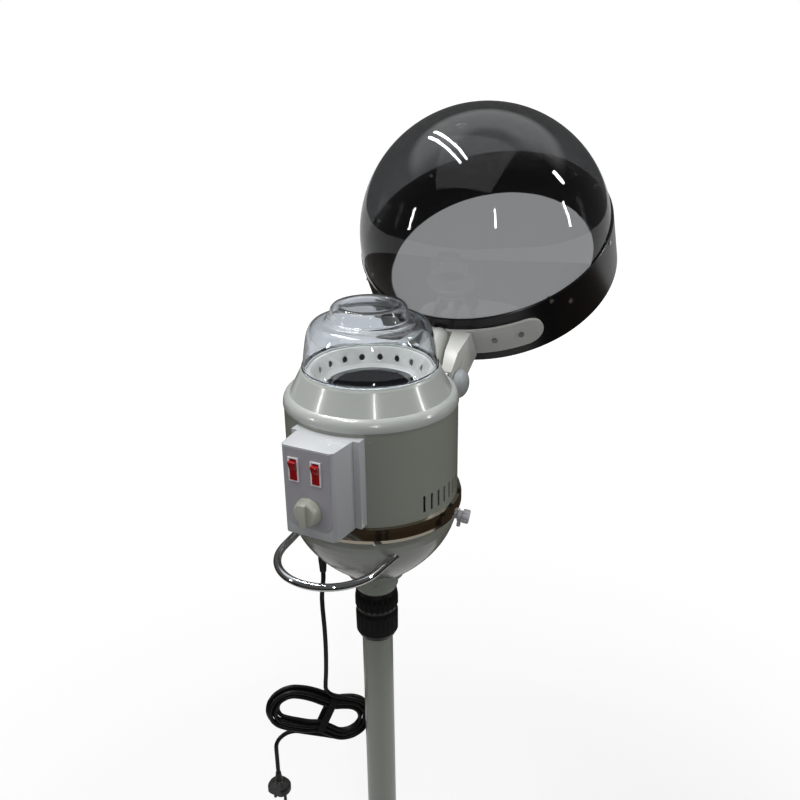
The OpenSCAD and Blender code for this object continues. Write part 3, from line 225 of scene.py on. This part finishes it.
class Tree:
    """A tree of shader nodes."""

    def __init__(self, tree):
        self.tree = tree

    def node(self, kind, settings, entries, output=0, stops=()):
        """Adds a node, sets it, fills its sockets with numbers or links, and gives one output."""
        node = self.tree.nodes.new(kind)
        for key, setting in settings.items():
            setattr(node, key, setting)
        for k, (place, grey) in enumerate(stops):
            stop = node.color_ramp.elements[k] if k < 2 else node.color_ramp.elements.new(place)
            stop.position, stop.color = place, (grey, grey, grey, 1)
        for key, entry in entries.items():
            if isinstance(entry, Value):
                self.tree.links.new(entry.socket, node.inputs[key])
            else:
                node.inputs[key].default_value = entry
        return Value(self.tree, node.outputs[output])

    def ramp(self, value, stops):
        """The value through a ramp of (place, grey) stops."""
        return self.node("ShaderNodeValToRGB", {}, {"Fac": value}, stops=stops)

    def path(self, output):
        """What kind of ray asks, or how often it has bounced."""
        return self.node("ShaderNodeLightPath", {}, {}, output)

    def shown(self, in_gloss):
        """1 where the camera looks at it, straight or through clear plastic, in_gloss in gloss."""
        bounces = self.path("Diffuse Depth") + self.path("Glossy Depth")
        looked_at = (self.path("Is Camera Ray") | self.path("Is Transmission Ray")) * (bounces < 0.5)
        return looked_at | self.path("Is Glossy Ray") * in_gloss


class Finish(Tree):
    """One material: its shader, and the nodes that vary it over the piece."""

    def __init__(self, name, colour, **sockets):
        self.material = bpy.data.materials.new(name)
        self.material.use_nodes = True
        super().__init__(self.material.node_tree)
        self.shader = self.tree.nodes["Principled BSDF"]
        self.shader.inputs["Base Color"].default_value = colour
        for socket, number in sockets.items():
            self.shader.inputs[socket.replace("_", " ")].default_value = number
        self.place = self.node("ShaderNodeTexCoord", {}, {}, "Object")

    def noise(self, scale, detail=3, stretch=(1, 1, 1), seed=0.0):
        """Noise of about scale bumps to the metre, stretched along the axes."""
        place = self.node("ShaderNodeMapping", {}, {"Vector": self.place, "Scale": stretch,
                                                    "Location": (seed, seed, seed)})
        return self.node("ShaderNodeTexNoise", {}, {"Vector": place, "Scale": scale, "Detail": detail})

    def mix(self, share, first, second):
        """The two colours mixed by share."""
        return self.node("ShaderNodeMix", {"data_type": "RGBA"}, {0: share, 6: first, 7: second}, 2)

    def feed(self, socket, value):
        """Links a value to one of the shader's sockets."""
        self.tree.links.new(value.socket, self.shader.inputs[socket])

    def bump(self, height, depth):
        """Bump of so many metres, into the shader's normal."""
        bumped = self.node("ShaderNodeBump", {}, {"Strength": 1.0, "Distance": depth, "Height": height})
        self.feed("Normal", bumped)

    def on(self, *names):
        """Puts the finish on CAD nodes, or on pieces made here."""
        for name in names:
            piece = nodes[name] if isinstance(name, str) else name
            piece.data.materials.clear()
            piece.data.materials.append(self.material)


DUST = paint(150, 148, 142)
UNEVEN = 0.06


def moulded(name, colour, roughness, grain=900.0, depth=0.00002, tone=0.06, dusty=0.0, **sockets):
    """Moulded plastic or paint: a fine grain, slightly uneven gloss and colour, and dust on top."""
    finish = Finish(name, colour, Roughness=roughness, **sockets)
    shade = finish.mix(finish.noise(9.0, detail=4), toned(colour, 1 - tone), toned(colour, 1 + tone))
    if dusty:
        normal = finish.node("ShaderNodeTexCoord", {}, {}, "Normal")
        facing_up = finish.node("ShaderNodeSeparateXYZ", {}, {"Vector": normal}, 2)
        speck = finish.ramp(finish.noise(420.0, detail=2, seed=3.0), [(0.55, 0.0), (0.75, 1.0)])
        dust = finish.ramp(facing_up, [(0.2, 0.0), (0.95, 1.0)]) * (speck * 0.6 + 0.4) * dusty
        shade = finish.mix(dust, shade, DUST)
    finish.feed("Base Color", shade)
    finish.feed("Roughness", finish.noise(35.0, seed=7.0) * UNEVEN + (roughness - UNEVEN / 2))
    finish.bump(finish.noise(grain, seed=11.0), depth)
    return finish


moulded("cable_rubber", paint(12, 12, 13), 0.42, grain=1400.0, tone=0.2, dusty=0.06,
        Specular_IOR_Level=0.3).on(mains_lead)
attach(mains_lead, "head")
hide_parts("cord_lead", "cord_hank", "cord_tail")

# Tie of the hank. A soft black strap of woven hook-and-loop tape, wrapped once round the hank's
# waist and closed on itself.
TIE_W, TIE_T = 0.012, 0.0012
TIE_HALF, TIE_R = 0.0265, 0.0082
WELD = 0.00002
SMOOTH_BELOW = math.radians(40)


def nothing_selected():
    """Leaves Blender in object mode with nothing selected."""
    if bpy.context.mode != "OBJECT":
        bpy.ops.object.mode_set(mode="OBJECT")
    bpy.ops.object.select_all(action="DESELECT")


nothing_selected()
bpy.ops.mesh.primitive_circle_add(vertices=48, radius=TIE_R, fill_type="NOTHING")
hank_tie = bpy.context.active_object
hank_tie.name = "hank_tie"
for v in hank_tie.data.vertices:
    if abs(v.co.y) > WELD:
        v.co.y += math.copysign(TIE_HALF, v.co.y)
bpy.ops.object.mode_set(mode="EDIT")
bpy.ops.mesh.extrude_region_move(TRANSFORM_OT_translate={"value": (0, 0, TIE_W)})
bpy.ops.object.mode_set(mode="OBJECT")
for v in hank_tie.data.vertices:
    v.co = in_hank((WAIST_X - TIE_W / 2 + v.co.z, v.co.x, v.co.y))
thick = hank_tie.modifiers.new("thickness", "SOLIDIFY")
thick.thickness, thick.offset = TIE_T, 1
bpy.ops.object.modifier_apply(modifier="thickness")
bpy.ops.object.mode_set(mode="EDIT")
bpy.ops.mesh.select_all(action="SELECT")
bpy.ops.mesh.normals_make_consistent(inside=False)
bpy.ops.object.mode_set(mode="OBJECT")
bpy.ops.object.shade_smooth_by_angle(angle=SMOOTH_BELOW)
moulded("tie_tape", paint(16, 16, 17), 0.85, grain=1500.0, depth=0.00015, tone=0.3).on(hank_tie)
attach(hank_tie, "head")

# Plug and gland. The plug is moulded onto the cable's end in black plastic, and the gland is a
# tapered rubber strain relief, which its flange holds inside the bowl.
moulded("plug_plastic", paint(26, 26, 28), 0.38, grain=1100.0, depth=0.00003, dusty=0.2).on("cord_plug")
moulded("gland_rubber", paint(22, 22, 24), 0.5).on("cord_gland")

# Star base and its castors. The base is one cast foot sprayed satin black, with a hub for the pole
# and five legs; each castor is a hooded twin wheel of black nylon on a steel stem.
CASTORS = 5


def softened(node, edge, finish, sharper_than=32):
    """A CAD node's shape with its edges rounded, as a mould and a polish leave them."""
    nothing_selected()
    piece = bpy.data.objects.new(node + "_moulded", nodes[node].data.copy())
    scene.collection.objects.link(piece)
    bpy.context.view_layer.objects.active = piece
    piece.select_set(True)
    bpy.ops.mesh.customdata_custom_splitnormals_clear()
    bpy.ops.object.mode_set(mode="EDIT")
    bpy.ops.mesh.select_all(action="SELECT")
    bpy.ops.mesh.remove_doubles(threshold=WELD)
    bpy.ops.mesh.dissolve_limited(angle_limit=math.radians(1))
    bpy.ops.object.mode_set(mode="OBJECT")
    rounded = piece.modifiers.new("rounded", "BEVEL")
    rounded.width, rounded.segments, rounded.limit_method = edge, 3, "ANGLE"
    rounded.angle_limit, rounded.use_clamp_overlap = math.radians(sharper_than), True
    bpy.ops.object.modifier_apply(modifier="rounded")
    bpy.ops.object.shade_smooth_by_angle(angle=SMOOTH_BELOW)
    finish.on(piece)
    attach(piece, nodes[node]["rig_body"])
    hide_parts(node)


base_paint = moulded("satin_black_paint", paint(40, 41, 43), 0.4, grain=260.0, depth=0.00005,
                     tone=0.1, dusty=0.35)
softened("star_base", 0.0015, base_paint)
castor_nylon = moulded("castor_nylon", paint(31, 32, 34), 0.45, dusty=0.3)
tread = moulded("wheel_tread", paint(44, 45, 48), 0.55, grain=500.0, depth=0.00004, dusty=0.3)
for i in range(1, CASTORS + 1):
    softened(f"castor_body_{i}", 0.001, castor_nylon)
    softened(f"castor_wheels_{i}", 0.0015, tread)

# Pole bolt and neck screws. Plated steel: the bolt goes up through the base into the pole, three
# screws clamp the neck socket to the sliding tube, and four hold the bowl on its flange.
STREAK_DEPTH = 0.000004


def steel(name, colour, roughness, stretch=(1, 1, 1), streaks=600.0, tone=0.12):
    """Bare or plated steel: fine streaks along the way it was worked, and smears of handling."""
    finish = Finish(name, colour, Roughness=roughness, Metallic=1.0)
    line = finish.noise(streaks, detail=4, stretch=stretch)
    finish.feed("Base Color", finish.mix(line, toned(colour, 1 - tone), colour))
    smear = finish.noise(24.0, detail=5, seed=5.0)
    uneven = smear * (0.5 * roughness + 0.04) + line * (0.4 * roughness)
    finish.feed("Roughness", uneven + 0.55 * roughness)
    finish.bump(line, STREAK_DEPTH)
    return finish


steel("bolt_steel", paint(150, 152, 155), 0.32).on("pole_bolt", "neck_screws")

# Pole and lock collar. The outer tube is sprayed a pale grey-green, the sliding tube inside it is
# bright steel in a white nylon bush, and the black collar that clamps it has a fluted grip.
moulded("pole_paint", paint(146, 150, 141), 0.3, grain=320.0, tone=0.04,
        Coat_Weight=0.4, Coat_Roughness=0.15).on("outer_pole")
moulded("bush_nylon", paint(222, 222, 216), 0.45).on("guide_bush")
moulded("collar_plastic", paint(13, 13, 14), 0.36, grain=1000.0, depth=0.00003, tone=0.15, dusty=0.08,
        Specular_IOR_Level=0.3).on("lock_collar")
steel("tube_steel", paint(205, 208, 211), 0.12, stretch=(1, 1, 0.02), streaks=900.0).on("inner_tube")

# Bowl, neck socket, drum and top cover. Pressed and moulded shells sprayed off-white with a hint of
# green, which meet at the polished band and at the top seam.
moulded("shell_paint", paint(142, 145, 137), 0.26, grain=240.0, tone=0.03,
        Coat_Weight=0.5, Coat_Roughness=0.1).on("drum_shell", "bottom_bowl")
moulded("neck_paint", paint(140, 144, 136), 0.32, grain=300.0, depth=0.00003).on("neck_socket")
moulded("top_cover_plastic", paint(173, 177, 173), 0.22, grain=500.0, depth=0.00001, tone=0.03,
        Coat_Weight=0.4, Coat_Roughness=0.08).on("top_cover")
moulded("seal_rubber", paint(215, 216, 210), 0.5).on("cover_seal")

# Polished band. A strip of stainless steel, rolled to a shallow channel and polished along its
# length, that goes round the joint of drum and bowl and hides it.
steel("band_stainless", paint(176, 168, 152), 0.08, stretch=(0.02, 0.02, 1),
      streaks=1400.0).on("steel_band")

# Towel rail. A steel rod bent to a U and chromed, whose two ends pass through the bowl's wall and
# are held by their collars inside.
steel("rail_chrome", paint(214, 217, 221), 0.05, streaks=300.0, tone=0.05).on("towel_rail")

# Inside the head. The white moulded funnel with its steam holes, the black enamelled water pot
# with the heater under it, and the works behind the slots, on a plate of pressed steel.
moulded("funnel_plastic", paint(214, 212, 204), 0.3, grain=700.0).on("inner_funnel")
moulded("pot_enamel", paint(12, 14, 24), 0.08, grain=60.0, depth=0.000004, tone=0.2,
        Coat_Weight=0.8, Coat_Roughness=0.04).on("water_pot")
works_steel = steel("works_steel", paint(160, 162, 164), 0.35)
works_steel.on("chassis_plate", "pot_bracket", "thermal_cutout")
steel("heater_sheath", paint(96, 98, 102), 0.4).on("heater_element")
moulded("motor_casting", paint(105, 107, 110), 0.5, grain=400.0).on("fan_motor")
moulded("works_plastic", paint(206, 203, 190), 0.45).on("fan_wheel", "terminal_block", "timer_body")

# Clear cover. An acrylic dome blown in two tiers, with a thicker square-cut foot, which stands on
# the seal and lifts off by its rim. Its top is a little sunk in a ring.
cover_low, cover_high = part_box("clear_cover")
COVER_Z, FOOT_R = round(cover_low.z, 4), round(cover_high.x, 4)
COVER_H = round(cover_high.z - cover_low.z, 4)
TIER_R, COVER_T = 0.052, 0.0025
FOOT_EDGE, FOOT_W = 0.003, 0.006
TOP_AT = COVER_H - 0.0055
SUNK, NEAR_AXIS = 0.0015, 0.001
ROUND_STEPS = 96
CLEAR_ROUGHNESS, SCUFFS, SHADOW_PALER = 0.02, 0.05, 0.25


def bowed(a, b, c, d, steps):
    """Points along a Bezier curve, as radius and height."""
    a, b, c, d = Vector(a), Vector(b), Vector(c), Vector(d)
    return [(1 - t) ** 3 * a + 3 * t * (1 - t) ** 2 * b + 3 * t * t * (1 - t) * c + t ** 3 * d
            for t in (k / steps for k in range(steps + 1))]


def spun(name, profile, height):
    """A closed shape of revolution about the pole's axis, from a profile of radius and height."""
    nothing_selected()
    bpy.ops.mesh.primitive_plane_add(size=0.01)
    piece = bpy.context.active_object
    piece.name = name
    bpy.ops.object.mode_set(mode="EDIT")
    bpy.ops.mesh.select_all(action="DESELECT")
    bpy.ops.object.mode_set(mode="OBJECT")
    for v in piece.data.vertices[1:]:
        v.select = True
    bpy.ops.object.mode_set(mode="EDIT")
    bpy.ops.mesh.delete(type="VERT")
    bpy.ops.object.mode_set(mode="OBJECT")
    piece.data.vertices[0].co = (profile[0].x, 0, height + profile[0].y)
    piece.data.vertices[0].select = True
    bpy.ops.object.mode_set(mode="EDIT")
    for here, there in zip(profile, profile[1:]):
        step = (there.x - here.x, 0, there.y - here.y)
        bpy.ops.mesh.extrude_region_move(TRANSFORM_OT_translate={"value": step})
    bpy.ops.mesh.select_all(action="SELECT")
    bpy.ops.mesh.spin(steps=ROUND_STEPS, angle=math.tau, center=(0, 0, 0), axis=(0, 0, 1))
    bpy.ops.mesh.select_all(action="SELECT")
    bpy.ops.mesh.remove_doubles(threshold=WELD)
    bpy.ops.mesh.normals_make_consistent(inside=False)
    bpy.ops.object.mode_set(mode="OBJECT")
    return piece


def clear_plastic(name, colour, ripple):
    """Clear plastic that light passes, with faint scuffs and ripples and a pale tinted shadow."""
    finish = Finish(name, colour, Roughness=CLEAR_ROUGHNESS, IOR=1.49, Transmission_Weight=1.0)
    smear = finish.ramp(finish.noise(30.0, detail=5, seed=2.0), [(0.45, 0.0), (0.8, 1.0)])
    finish.feed("Roughness", smear * SCUFFS + CLEAR_ROUGHNESS)
    finish.bump(finish.noise(22.0, detail=2, seed=9.0), ripple)
    shadow = (*(SHADOW_PALER + (1 - SHADOW_PALER) * c for c in colour[:3]), 1.0)
    passed = finish.node("ShaderNodeBsdfTransparent", {}, {"Color": shadow})
    solid = Value(finish.tree, finish.shader.outputs[0])
    surface = finish.node("ShaderNodeMixShader", {},
                          {0: finish.path("Is Shadow Ray"), 1: solid, 2: passed})
    finish.tree.links.new(surface.socket, finish.tree.nodes["Material Output"].inputs["Surface"])
    return finish


side = bowed((FOOT_R - 0.0015, 0.004), (FOOT_R - 0.004, 0.3 * COVER_H),
             (FOOT_R - 0.007, 0.5 * COVER_H), (FOOT_R - 0.009, 0.55 * COVER_H), 10)
shoulder = bowed((FOOT_R - 0.011, 0.6 * COVER_H), (FOOT_R - 0.015, 0.69 * COVER_H),
                 (FOOT_R - 0.020, 0.7 * COVER_H), (TIER_R + 0.008, 0.705 * COVER_H), 10)
fillet = bowed((TIER_R + 0.007, 0.708 * COVER_H), (TIER_R + 0.004, 0.712 * COVER_H),
               (TIER_R + 0.004, 0.745 * COVER_H), (TIER_R + 0.001, 0.75 * COVER_H), 5)
tier = bowed((TIER_R, 0.755 * COVER_H), (TIER_R - 0.003, 0.77 * COVER_H),
             (TIER_R - 0.002, 0.90 * COVER_H), (TIER_R - 0.006, TOP_AT - 0.001), 8)
ring = bowed((TIER_R - 0.007, TOP_AT), (TIER_R - 0.009, TOP_AT + 0.0015),
             (TIER_R - 0.014, TOP_AT + 0.0012), (TIER_R - 0.016, TOP_AT), 6)
top = bowed((TIER_R - 0.018, TOP_AT - 0.001), (TIER_R - 0.03, TOP_AT - SUNK),
            (0.01, TOP_AT - SUNK), (0, TOP_AT - SUNK), 6)
foot = [Vector((FOOT_R, 0)), Vector((FOOT_R, FOOT_EDGE))]
outside = foot + side + shoulder + fillet + tier + ring + top
inside = []
for before, here, after in zip(outside, outside[1:], outside[2:]):
    along = (after - before).normalized()
    inside.append(here + COVER_T * Vector((-along.y, along.x)))
inside = [Vector((0, TOP_AT - SUNK - COVER_T))] + [p for p in reversed(inside) if p.x > NEAR_AXIS]
outline = outside + inside + [Vector((FOOT_R - FOOT_W, 0)), outside[0]]
clear_cover = spun("clear_cover_acrylic", outline, COVER_Z)
bpy.ops.object.shade_smooth_by_angle(angle=math.radians(50))
# The cover's grey-blue tint is painted reflection: it darkens and blues the clear acrylic to stand for
# the dark, bluish surroundings that the cover mirrors.
clear_plastic("cover_acrylic", (0.71, 0.735, 0.765, 1.0), 0.00005).on(clear_cover)
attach(clear_cover, "cover")
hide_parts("clear_cover")

# Control housing. A moulded box on the drum's front, open to the drum behind, with a panel let into
# its face for the two red rockers in their white frames and for the timer's knob.
box_plastic = moulded("housing_plastic", paint(175, 178, 180), 0.34, grain=1000.0, tone=0.03)
panel_plastic = moulded("panel_plastic", paint(163, 161, 167), 0.38, grain=1200.0, tone=0.03)
frame_plastic = moulded("frame_plastic", paint(236, 234, 238), 0.35)
rocker_plastic = moulded("rocker_plastic", paint(158, 14, 20), 0.2, grain=500.0, tone=0.15,
                         Coat_Weight=0.6, Coat_Roughness=0.06)
knob_plastic = moulded("knob_plastic", paint(176, 177, 167), 0.33, tone=0.04)
softened("control_housing", 0.0012, box_plastic)
panel_plastic.on("control_panel")
softened("switch_frames", 0.0006, frame_plastic)
softened("left_rocker", 0.0008, rocker_plastic)
softened("right_rocker", 0.0008, rocker_plastic)
softened("timer_knob", 0.0018, knob_plastic, sharper_than=25)

# Drain. The moulded tap in the bowl's right side, its pale lever knob, and the soft silicone hose
# that leads up from it to the pot.
tap_plastic = moulded("tap_plastic", paint(178, 179, 183), 0.3)
softened("drain_knob", 0.0008, tap_plastic)
tap_plastic.on("drain_valve")
moulded("hose_silicone", paint(226, 222, 208), 0.35, Subsurface_Weight=0.2).on("drain_hose")

# Arm. Two cheeks, a web and the wings that hold the hood's band, moulded in light grey plastic and
# hung on a bolt through the drum's bracket, with a round knob that clamps its tilt.
arm_plastic = moulded("arm_plastic", paint(196, 197, 192), 0.32, grain=800.0, tone=0.03)
softened("hood_arm", 0.0014, arm_plastic)
softened("arm_bracket", 0.0012, arm_plastic)
arm_plastic.on("steam_duct")
moulded("tilt_knob_plastic", paint(158, 163, 165), 0.2, grain=600.0).on("tilt_knob")
moulded("spout_plastic", paint(214, 215, 210), 0.35).on("steam_spout")
steel("screw_steel", paint(132, 130, 122), 0.4).on("wing_screws", "bracket_screws")
works_steel.on("pivot_bolt")

# Hood. A dome of smoked acrylic, vacuum formed in one piece, whose rim is screwed inside a band
# moulded in black plastic.
moulded("band_plastic", paint(15, 15, 17), 0.26, grain=500.0, depth=0.00001, tone=0.15, dusty=0.03,
        Specular_IOR_Level=0.35).on("hood_band")
steel("band_screw_steel", paint(226, 226, 220), 0.3).on("band_screws")
clear_plastic("dome_smoked_acrylic", (0.225, 0.23, 0.235, 1.0), 0.0002).on("hood_dome")

# Floor. A wide pale sheet that keeps a soft shadow. Where the camera or a shiny surface sees it, it
# glows, and goes from pale grey to white with the distance.
FLOOR_SIZE, FLOOR_IN_GLOSS = 50, 0.45
FLOOR_GREY, WHITE = (0.3, 0.3, 0.3, 1), (1, 1, 1, 1)
GLOW_REACH, GLOW_NEAR, GLOW_FAR = 5, (0.8, 0.68), (3.5, 0.98)

nothing_selected()
bpy.ops.mesh.primitive_plane_add(size=FLOOR_SIZE)
floor = bpy.context.active_object
floor.name = "floor"
floor_finish = Finish("floor_sheet", FLOOR_GREY, Roughness=0.8)
far_off = floor_finish.node("ShaderNodeVectorMath", {"operation": "LENGTH"},
                            {0: floor_finish.place}, "Value")
stops = [(far / GLOW_REACH, strength) for far, strength in (GLOW_NEAR, GLOW_FAR)]
glow = floor_finish.ramp(far_off * (1 / GLOW_REACH), stops)
floor_finish.shader.inputs["Emission Color"].default_value = WHITE
floor_finish.feed("Emission Strength", glow * floor_finish.shown(FLOOR_IN_GLOSS))
floor_finish.on(floor)

# Air. It lights the steamer evenly and a little, is white where the camera sees it, and has a pale
# window high up behind the steamer that only shiny surfaces show.
BEHIND = (-0.459, 0.888, 0)
AIR_LIGHT, AIR_IN_GLOSS, WINDOW_LIGHT = 0.18, 0.10, 0.8

air = bpy.data.worlds.new("air")
air.use_nodes = True
scene.world = air
air_tree = Tree(air.node_tree)
heading = air_tree.node("ShaderNodeTexCoord", {}, {}, "Generated")
behind = air_tree.node("ShaderNodeVectorMath", {"operation": "DOT_PRODUCT"},
                       {0: heading, 1: BEHIND}, "Value")
rise = air_tree.node("ShaderNodeSeparateXYZ", {}, {0: heading}, 2)
window = air_tree.ramp(rise, [(0.56, 0), (0.66, 1), (0.9, 1), (0.96, 0)])
window = window * air_tree.ramp(behind, [(0.0, 0), (0.3, 1)])
in_gloss = air_tree.path("Is Glossy Ray")
even = AIR_LIGHT - in_gloss * (AIR_LIGHT - AIR_IN_GLOSS)
strength = air_tree.shown(0.0) | (window * in_gloss * WINDOW_LIGHT + even)
background = air.node_tree.nodes["Background"]
air.node_tree.links.new(strength.socket, background.inputs["Strength"])
background.inputs["Color"].default_value = WHITE

# Lamps. Long narrow ones all round and overhead, each where it gives one of the streaks on the top
# cover or the dome, and a wide soft screen above that polished surfaces don't show.
HEAD, HOOD = (0, 0, 1.23), (0, 0.38, 1.33)
UPWARDS, ACROSS = (0, 0, 1), (0.676, -0.737, 0)
LAMPS = [((-3.37, -2.74, 2.41), HEAD, (0.16, 1.3), 24, UPWARDS),
         ((2.26, -3.37, 3.18), HEAD, (0.13, 1.3), 24, UPWARDS),
         ((4.16, 1.18, 2.45), HEAD, (0.16, 1.3), 24, UPWARDS),
         ((-0.717, 0.357, 3.0), HOOD, (0.05, 1.6), 12, ACROSS),
         ((-0.843, 0.243, 3.0), HOOD, (0.05, 1.6), 12, ACROSS),
         ((2.04, 1.17, 3.0), HOOD, (0.14, 0.5), 12, UPWARDS)]


def lamp(name, place, aim, size, watts, along):
    """A soft rectangular lamp at place, turned to aim, its long side along the given direction."""
    light = bpy.data.lights.new(name, "AREA")
    light.shape, light.size, light.size_y, light.energy = "RECTANGLE", size[0], size[1], watts
    holder = bpy.data.objects.new(name, light)
    scene.collection.objects.link(holder)
    away = (Vector(place) - Vector(aim)).normalized()
    long_side = Vector(along)
    long_side = (long_side - long_side.dot(away) * away).normalized()
    holder.matrix_world = stood(place, long_side.cross(away), long_side, away)
    return holder


for k, (place, aim, size, watts, along) in enumerate(LAMPS):
    lamp(f"lamp_{k}", place, aim, size, watts, along)
screen = lamp("screen", (-0.2, -0.5, 3.9), (0, 0.1, 1.2), (2.6, 2.6), 58, (0, 1, 0))
screen.visible_glossy = False

# Boards. A brown one bent to a ring round the steamer and four black ones just inside it, which give
# polished metal its dark tones and show in nothing else. Each row is a board's distance, its start
# and its spread in degrees, and its colour.
BOARD_H, BOARD_STEP = 1.1, 4
BROWN, BLACK = paint(78, 66, 52), paint(20, 18, 16)
BOARDS = [(0.95, 0, 360, BROWN), (0.94, -60, 7, BLACK), (0.94, -49, 4, BLACK),
          (0.94, -128, 12, BLACK), (0.94, 20, 10, BLACK)]
for k, (far, start, spread, colour) in enumerate(BOARDS):
    steps = max(2, spread // BOARD_STEP)
    around = [math.radians(start + spread * step / steps) for step in range(steps + 1)]
    lower = [Vector((far * math.cos(a), far * math.sin(a), 0)) for a in around]
    upper = [corner + Vector((0, 0, BOARD_H)) for corner in lower]
    faces = [(n, n + 1, n + steps + 2, n + steps + 1) for n in range(steps)]
    board_mesh = bpy.data.meshes.new(f"board_{k}")
    board_mesh.from_pydata(lower + upper, [], faces)
    board = bpy.data.objects.new(f"board_{k}", board_mesh)
    scene.collection.objects.link(board)
    Finish(f"board_{k}", colour, Roughness=0.9).on(board)
    board.visible_camera = board.visible_diffuse = False
    board.visible_transmission = board.visible_shadow = False
